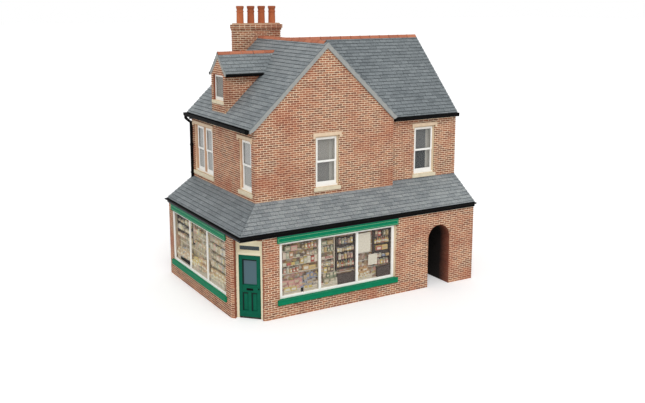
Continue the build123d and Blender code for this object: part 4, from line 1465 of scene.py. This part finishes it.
def makeDoor():
    p = doorParts
    w, h, place = cornerPlace("door_leaf")
    w += p["shift"]
    place = place @ Matrix.Translation((-p["shift"] * mm, 0, 0))
    deep, sunk, left, right = p["leafDepth"], p["sunk"], p["stile"], w - p["stile"]
    glassTop = h - p["topRail"]
    glassFoot = glassTop - p["glassHeight"]
    panelTop = glassFoot - p["lockRail"]
    panelFoot = panelTop - p["panelHeight"]
    middle = w / 2
    muntinLeft, muntinRight = middle - p["muntin"] / 2, middle + p["muntin"] / 2
    boxes = [(0.04, left, 0, deep, 0, h), (right, w - 0.04, 0, deep, 0, h),
             (left, right, 0.01, deep, glassTop, h),
             (left, right, 0.01, deep, panelTop, glassFoot),
             (left, right, 0.01, deep, 0, panelFoot),
             (muntinLeft, muntinRight, 0.01, deep, panelFoot, panelTop)]
    glass = (left, right, glassFoot, glassTop)
    panels = [(left, muntinLeft, panelFoot, panelTop), (muntinRight, right, panelFoot, panelTop)]
    fields, beads, lines = [], [], []
    for x0, x1, foot, top in panels:
        fields += [(x0, x1, sunk, deep, foot, top),
                   (x0 + 0.3, x1 - 0.3, sunk - 0.12, deep, foot + 0.3, top - 0.3)]
    for x0, x1, foot, top in [glass, *panels]:
        # painted shadow: dark lines along the left and top edge of the glass and of each panel
        line = p["shadowLine"]
        beads += aroundOpening(x0, x1, foot, top, p["bead"], 0.1, deep)
        lines += [(x0 + 0.02, x0 + line, 0.08, deep, foot, top),
                  (x0 + line, x1 - 0.1, 0.085, deep, top - line, top)]
    sill = [(left - 0.2, right + 0.2, -0.1, 0.2, glassFoot - 0.42, glassFoot - 0.1),
            (left - 0.2, right + 0.2, -0.06, 0.2, panelTop + 0.12, panelTop + 0.3)]
    leaf = joined([boxMesh(boxes, 0.05), boxMesh(fields, 0.08), boxMesh(beads, 0.05),
                   boxMesh(sill, 0.05)])
    pane = boxMesh([(left + 0.1, right - 0.1, sunk, sunk + 0.06, glassFoot + 0.1, glassTop - 0.1)])
    half, tall = p["plate"][0] / 2, p["plate"][1]
    foot = panelTop + p["plateLift"]
    fittings = joined([
        boxMesh([(middle - half, middle + half, -0.05, 0.1, foot, foot + tall)], 0.04),
        boxMesh([(middle - half + 0.2, middle + half - 0.2, -0.1, 0.0, foot + 0.16,
                  foot + tall - 0.16)], 0.03),
        knobMesh((w - p["stile"] / 2, 0, glassFoot - p["knobDrop"]))])
    keepPiece(moved(leaf, place), "door_joinery", "doorPaint", ["door_leaf"])
    keepPiece(moved(boxMesh(lines, 0.02), place), "door_painted_shadows", "edgePaint")
    keepPiece(moved(pane, place), "door_pane", "doorGlass")
    keepPiece(moved(fittings, place), "door_fittings", "blackPaint")


makeDoorFrame()
makeDoor()
print("door hung")


# Gutters: troughs with a beaded rim, brackets and stopped ends

gutterParts = {
    # radius and depth of each
    "lean_to_gutter": (0.45, 0.52),
    "main_gutter": (0.6, 1.15),
    "right_gutter": (0.45, 1.15),
    "dormer_gutters": (0.4, 0.8),
    "wall": 0.12,
    "bead": 0.08,
    "bracketPitch": 7.5,
    "bracketWidth": 0.24,
    "bracketProud": 0.06,
    "bracketThick": 0.1,
    "stopWidth": 0.14,
    "stopProud": 0.03,
    "roofEdge": 1.2,
    "board": (0.07, 1.25),
    "pipeRadius": 0.42,
    "collar": (0.52, 0.5),
    "collarFeet": (1.6, 10.5, 19.0),
    "outletRadius": 0.5,
}


def sweepMesh(outline, path):
    # an outline in side and height carried along a level path, its side to the right of the path
    shape = bmesh.new()
    rings = []
    up = Vector((0, 0, 1))
    ways = [(end - start).cross(up).normalized() for start, end in zip(path, path[1:])]
    for point, first, second in zip(path, ways[:1] + ways, ways + ways[-1:]):
        side = (first + second).normalized()
        side = side / side.dot(first)
        rings.append([shape.verts.new((point + side * a + up * z) * mm) for a, z in outline])
    for near, far in zip(rings, rings[1:]):
        bridged(shape, near, far)
    shape.faces.new(list(reversed(rings[0])))
    shape.faces.new(rings[-1])
    bmesh.ops.recalc_face_normals(shape, faces=shape.faces)
    return meshOf(shape)


def troughSide(radius, depth, steps=10):
    angles = [math.pi * k / steps for k in range(steps + 1)]
    curve = [(-radius * math.cos(angle), radius - depth - radius * math.sin(angle))
             for angle in angles]
    return [(-radius, 0.0), *curve, (radius, 0.0)]


def troughOutline(radius, depth, wall):
    return troughSide(radius, depth) + list(reversed(troughSide(radius - wall, depth - wall)))


def gutterRun(path, radius, depth, seed):
    p = gutterParts
    rim = p["bead"]
    bead = [(radius + rim * math.cos(math.pi * k / 4), -rim + rim * math.sin(math.pi * k / 4))
            for k in range(8)]
    made = [sweepMesh(troughOutline(radius, depth, p["wall"]), path), sweepMesh(bead, path)]
    stop = troughSide(radius + p["stopProud"], depth + p["stopProud"])
    for end, inner in ((path[0], path[1]), (path[-1], path[-2])):
        made.append(sweepMesh(stop, [end + (inner - end).normalized() * p["stopWidth"], end]))
    strap = troughOutline(radius + p["bracketProud"], depth + p["bracketProud"],
                          p["bracketThick"])
    for start, end in zip(path, path[1:]):
        run = end - start
        count = max(2, int(run.length / p["bracketPitch"]))
        unit = sweepMesh(strap, [Vector((0, 0, 0)), run.normalized() * p["bracketWidth"]])
        made.append(rowOf(unit, count, start + run / count / 2, run / count, seed))
    return joined(made)


def straightRun(node, low, high):
    # along the longer side of a straight gutter, with the roof to its left
    x, y = (low.x + high.x) / 2, (low.y + high.y) / 2
    if high.y - low.y > high.x - low.x:
        ends = (x, high.y), (x, low.y)
    elif node == "dormer_gutters" and low.y > crownOf("dormer_roof").y:
        ends = (high.x, y), (low.x, y)
    else:
        ends = (low.x, y), (high.x, y)
    return [Vector((*end, high.z)) for end in ends]


def makeGutters():
    p = gutterParts
    low, high = solidsOf("lean_to_gutter")[0]
    # its inner side stays where the roof ends
    edge = p["roofEdge"]
    x, y = low.x + edge - p["lean_to_gutter"][0], low.y + edge - p["lean_to_gutter"][0]
    runs = {"lean_to_gutter": [[Vector((x, high.y, high.z)), Vector((x, y, high.z)),
                                Vector((high.x, y, high.z))]]}
    eaves = [Vector((x, low.y + edge, high.z)) for x in (low.x + edge, high.x)]
    thick, deep = p["board"]
    board = sweepMesh([(0.0, -deep), (thick, -deep), (thick, 0.02), (0.0, 0.02)], eaves)
    keepPiece(board, "lean_to_eaves_board", "blackPaint")
    for node in ("main_gutter", "right_gutter", "dormer_gutters"):
        runs[node] = [straightRun(node, *box) for box in solidsOf(node)]
    for node, paths in runs.items():
        keepPiece([gutterRun(path, *p[node], 800 + index) for index, path in enumerate(paths)],
                  node + "_run", "blackPaint", [node])


def makeCollars():
    p = gutterParts
    low, high = solidsOf("downpipe")[0]
    radius, (wide, tall) = p["pipeRadius"], p["collar"]
    x, y = high.x - radius, (low.y + high.y) / 2
    feet = [low.z + foot for foot in p["collarFeet"]]
    made = [shifted(drumMesh(wide, tall, foot, 20), x, y, 0) for foot in feet]
    # the outlet that joins the pipe's top to the trough above it
    trough = solidsOf("main_gutter")[0][1].z - p["main_gutter"][1]
    made.append(shifted(drumMesh(p["outletRadius"], trough - high.z + 0.4, high.z - 0.3, 20),
                        low.x + radius, y, 0))
    ears = [(x - 0.2, x + radius, y - 0.75, y + 0.75, foot + 0.1, foot + 0.4) for foot in feet]
    keepPiece([*made, boxMesh(ears, 0.04)], "downpipe_collars", "blackPaint")


makeGutters()
makeCollars()
print("gutters hung")


# Chimney pots: turned clay pots with ringed necks, bedded in a mortar flaunching

potParts = {
    "sides": 32,
    # radius, and height as a share of the pot's
    "profile": [(0.0, 0.0), (1.2, 0.0), (1.2, 0.06), (1.15, 0.08), (1.07, 0.66), (1.17, 0.67),
                (1.19, 0.695), (1.17, 0.72), (1.06, 0.735), (1.06, 0.83), (1.15, 0.86),
                (1.22, 0.9), (1.24, 0.945), (1.2, 0.985), (1.1, 1.0), (0.84, 1.0)],
    "bore": [(0.84, 1.0), (0.8, 0.96), (0.78, 0.5), (0.0, 0.5)],
    "bedHeight": 0.42,
    "bedInset": 0.5,
}


def turnedMesh(profile, height, value):
    shape = bmesh.new()
    sides = potParts["sides"]
    rings = []
    for radius, share in profile:
        z = share * height * mm
        ring = [shape.verts.new((radius * math.cos(math.tau * k / sides) * mm,
                                 radius * math.sin(math.tau * k / sides) * mm, z))
                for k in range(sides if radius else 1)]
        rings.append(ring if radius else ring * sides)
    for low, high in zip(rings, rings[1:]):
        bridged(shape, low, high)
    return markedFaces(meshOf(shape, smooth=True), value)


def makePots():
    p = potParts
    pots = sorted(solidsOf("chimney_pots"), key=lambda box: box[0].x)
    low, high = pots[0]
    height = high.z - low.z
    pot = joined([turnedMesh(p["profile"], height, 0.0), turnedMesh(p["bore"], height, 1.0)])
    row = rowOf(pot, len(pots), ((low.x + high.x) / 2, (low.y + high.y) / 2, low.z),
                (pots[1][0].x - low.x, 0.0, 0.0), 820, 0.02)
    row.set_sharp_from_angle(angle=math.radians(35))
    keepPiece(row, "turned_chimney_pots", "potClay", ["chimney_pots"])
    low, high = solidsOf("chimney_cap")[0]
    inset = p["bedInset"]
    bed = boxMesh([(low.x + inset, high.x - inset, low.y + inset, high.y - 0.15,
                    high.z - 0.1, high.z + p["bedHeight"])], 0.3, 3)
    keepPiece(bed, "chimney_flaunching", "flaunching")


makePots()
print("chimney pots set")


# Shop boards: a bare name board with a cornice and a fine border, and a plain board below

boardParts = {
    "cornice": 0.42,
    "foot": 0.16,
    "border": 0.07,
    "borderInset": 0.3,
    "nosing": 0.3,
    "ease": 0.04,
}


def makeBoards():
    p = boardParts
    for node in ("fascia_boards", "stall_boards"):
        made, borders = [], []
        for (low, high), (width, height, _, place) in zip(solidsOf(node), windowPlaces(node)):
            deep = min(high.x - low.x, high.y - low.y)
            if node == "fascia_boards":
                top, inset = height - p["cornice"], p["borderInset"]
                boxes = [(0, width, 0.12, deep, 0, height),
                         (0, width, 0.0, deep, top + 0.22, height),
                         (0, width, 0.05, deep, top + 0.1, top + 0.26),
                         (0, width, 0.05, deep, 0, p["foot"])]
                border = aroundOpening(inset, width - inset, p["foot"] + inset * 0.5,
                                       top - inset * 0.2, p["border"], 0.09, 0.14)
                borders.append(moved(boxMesh(border), place))
            else:
                top = height - p["nosing"]
                boxes = [(0, width, 0.1, deep, 0, top), (0, width, 0.0, deep, top, height),
                         (0.6, width - 0.6, deep - 0.1, deep + 0.9, height - 0.2, height + 0.04),
                         (0, width, 0.04, deep, 0, 0.18)]
            made.append(moved(boxMesh(boxes, p["ease"]), place))
        keepPiece(made, node.replace("_boards", "_joinery"), "greenPaint", [node])
        if borders:
            keepPiece(borders, "fascia_border", "borderPaint")


makeBoards()
for node, finish, slot in (("window_lintels", "lintelPaint", "stone"),
                           ("window_sills", "creamStone", "stone"),
                           # the door step painted dark for the shadow under the door
                           ("door_step", "stepPaint", "black_trim"),
                           ("gable_verge", "verge", "verge")):
    keepPiece(eased(solidCopy(node), 0.06), node + "_eased", finish, [node])
print("boards and stone set")


# Materials of the carried-over solids

carried = {
    **dict.fromkeys(walls, "mortar"),
    **dict.fromkeys(slopes, "slateBed"),
    # the passage's walls and vault take the mortar with painted passage shade
    **dict.fromkeys(("passage_left_wall", "passage_right_wall", "passage_vault"), "sootyMortar"),
    "first_floor": "floorBoards",
    "dormer_roof": "verge",
    "downpipe": "blackPaint",
    "window_displays": "displayCard",
}
for node, finish in carried.items():
    nodes[node].data.materials.clear()
    nodes[node].data.materials.append(finishes[finish])


# Camera, light and floor

cameraSet = {
    "place": (-128.62, -221.43, 85.82),
    "turn": 30.437,
    "fall": 11.025,
    "roll": 0.062,
    "lens": 47.098,
    "sensor": 36.0,
    "shift": -0.0566,
}


def setCamera():
    p = cameraSet
    data = bpy.data.cameras.new("camera")
    camera = addObject("camera", data)
    camera.location = Vector(p["place"]) * mm
    camera.rotation_mode = "QUATERNION"
    aim = (Matrix.Rotation(math.radians(-p["turn"]), 3, "Z")
           @ Matrix.Rotation(math.radians(90 - p["fall"]), 3, "X")
           @ Matrix.Rotation(math.radians(-p["roll"]), 3, "Z"))
    camera.rotation_quaternion = aim.to_quaternion()
    data.lens = p["lens"]
    data.sensor_width = p["sensor"]
    data.shift_y = p["shift"]
    data.clip_start = 0.01
    data.clip_end = 10.0
    scene.camera = camera


studio = {
    "keyPower": 1.35,
    "keyTurn": 20.0,
    "keyHeight": 50.0,
    "keyAngle": 40.0,
    "skyLevel": 0.68,
    "floorSize": 3.0,
    "floorGlow": 0.2,
}


def setLights():
    p = studio
    data = bpy.data.lights.new("key", "SUN")
    data.energy = p["keyPower"]
    data.angle = math.radians(p["keyAngle"])
    key = addObject("key", data)
    key.rotation_euler = (math.radians(90 - p["keyHeight"]), 0.0, math.radians(-p["keyTurn"]))
    world = bpy.data.worlds.new("studio")
    scene.world = world
    world.use_nodes = True
    w = Wiring(world.node_tree)
    back = world.node_tree.nodes["Background"]
    path = w.node("ShaderNodeLightPath")
    seen = path.maths("MAXIMUM", path.maths("MAXIMUM", path, path.other("Is Glossy Ray")),
                      path.other("Is Transmission Ray"))
    strength = seen * (1.0 - p["skyLevel"]) + p["skyLevel"]
    world.node_tree.links.new(strength.socket, back.inputs["Strength"])
    back.inputs["Color"].default_value = (1.0, 1.0, 1.0, 1.0)


def setFloor():
    shape = bmesh.new()
    bmesh.ops.create_grid(shape, x_segments=1, y_segments=1, size=studio["floorSize"])
    floor = addObject("floor", meshOf(shape))
    floor.location.z = cadLow.z
    finish = Finish("floorWhite", roughness=0.9, Base_Color=(0.9, 0.9, 0.9, 1.0))
    path = finish.node("ShaderNodeLightPath")
    glow = finish.node("ShaderNodeEmission", None, {"Color": (1.0, 1.0, 1.0, 1.0),
                                                    "Strength": path * studio["floorGlow"]})
    both = finish.node("ShaderNodeAddShader", None, {0: Signal(finish.shader.outputs[0]), 1: glow})
    output = finish.tree.nodes["Material Output"]
    finish.tree.links.new(both.socket, output.inputs["Surface"])
    floor.data.materials.append(finish.material)


setCamera()
setLights()
setFloor()
scene.view_settings.view_transform = "Standard"

print("scene ready")
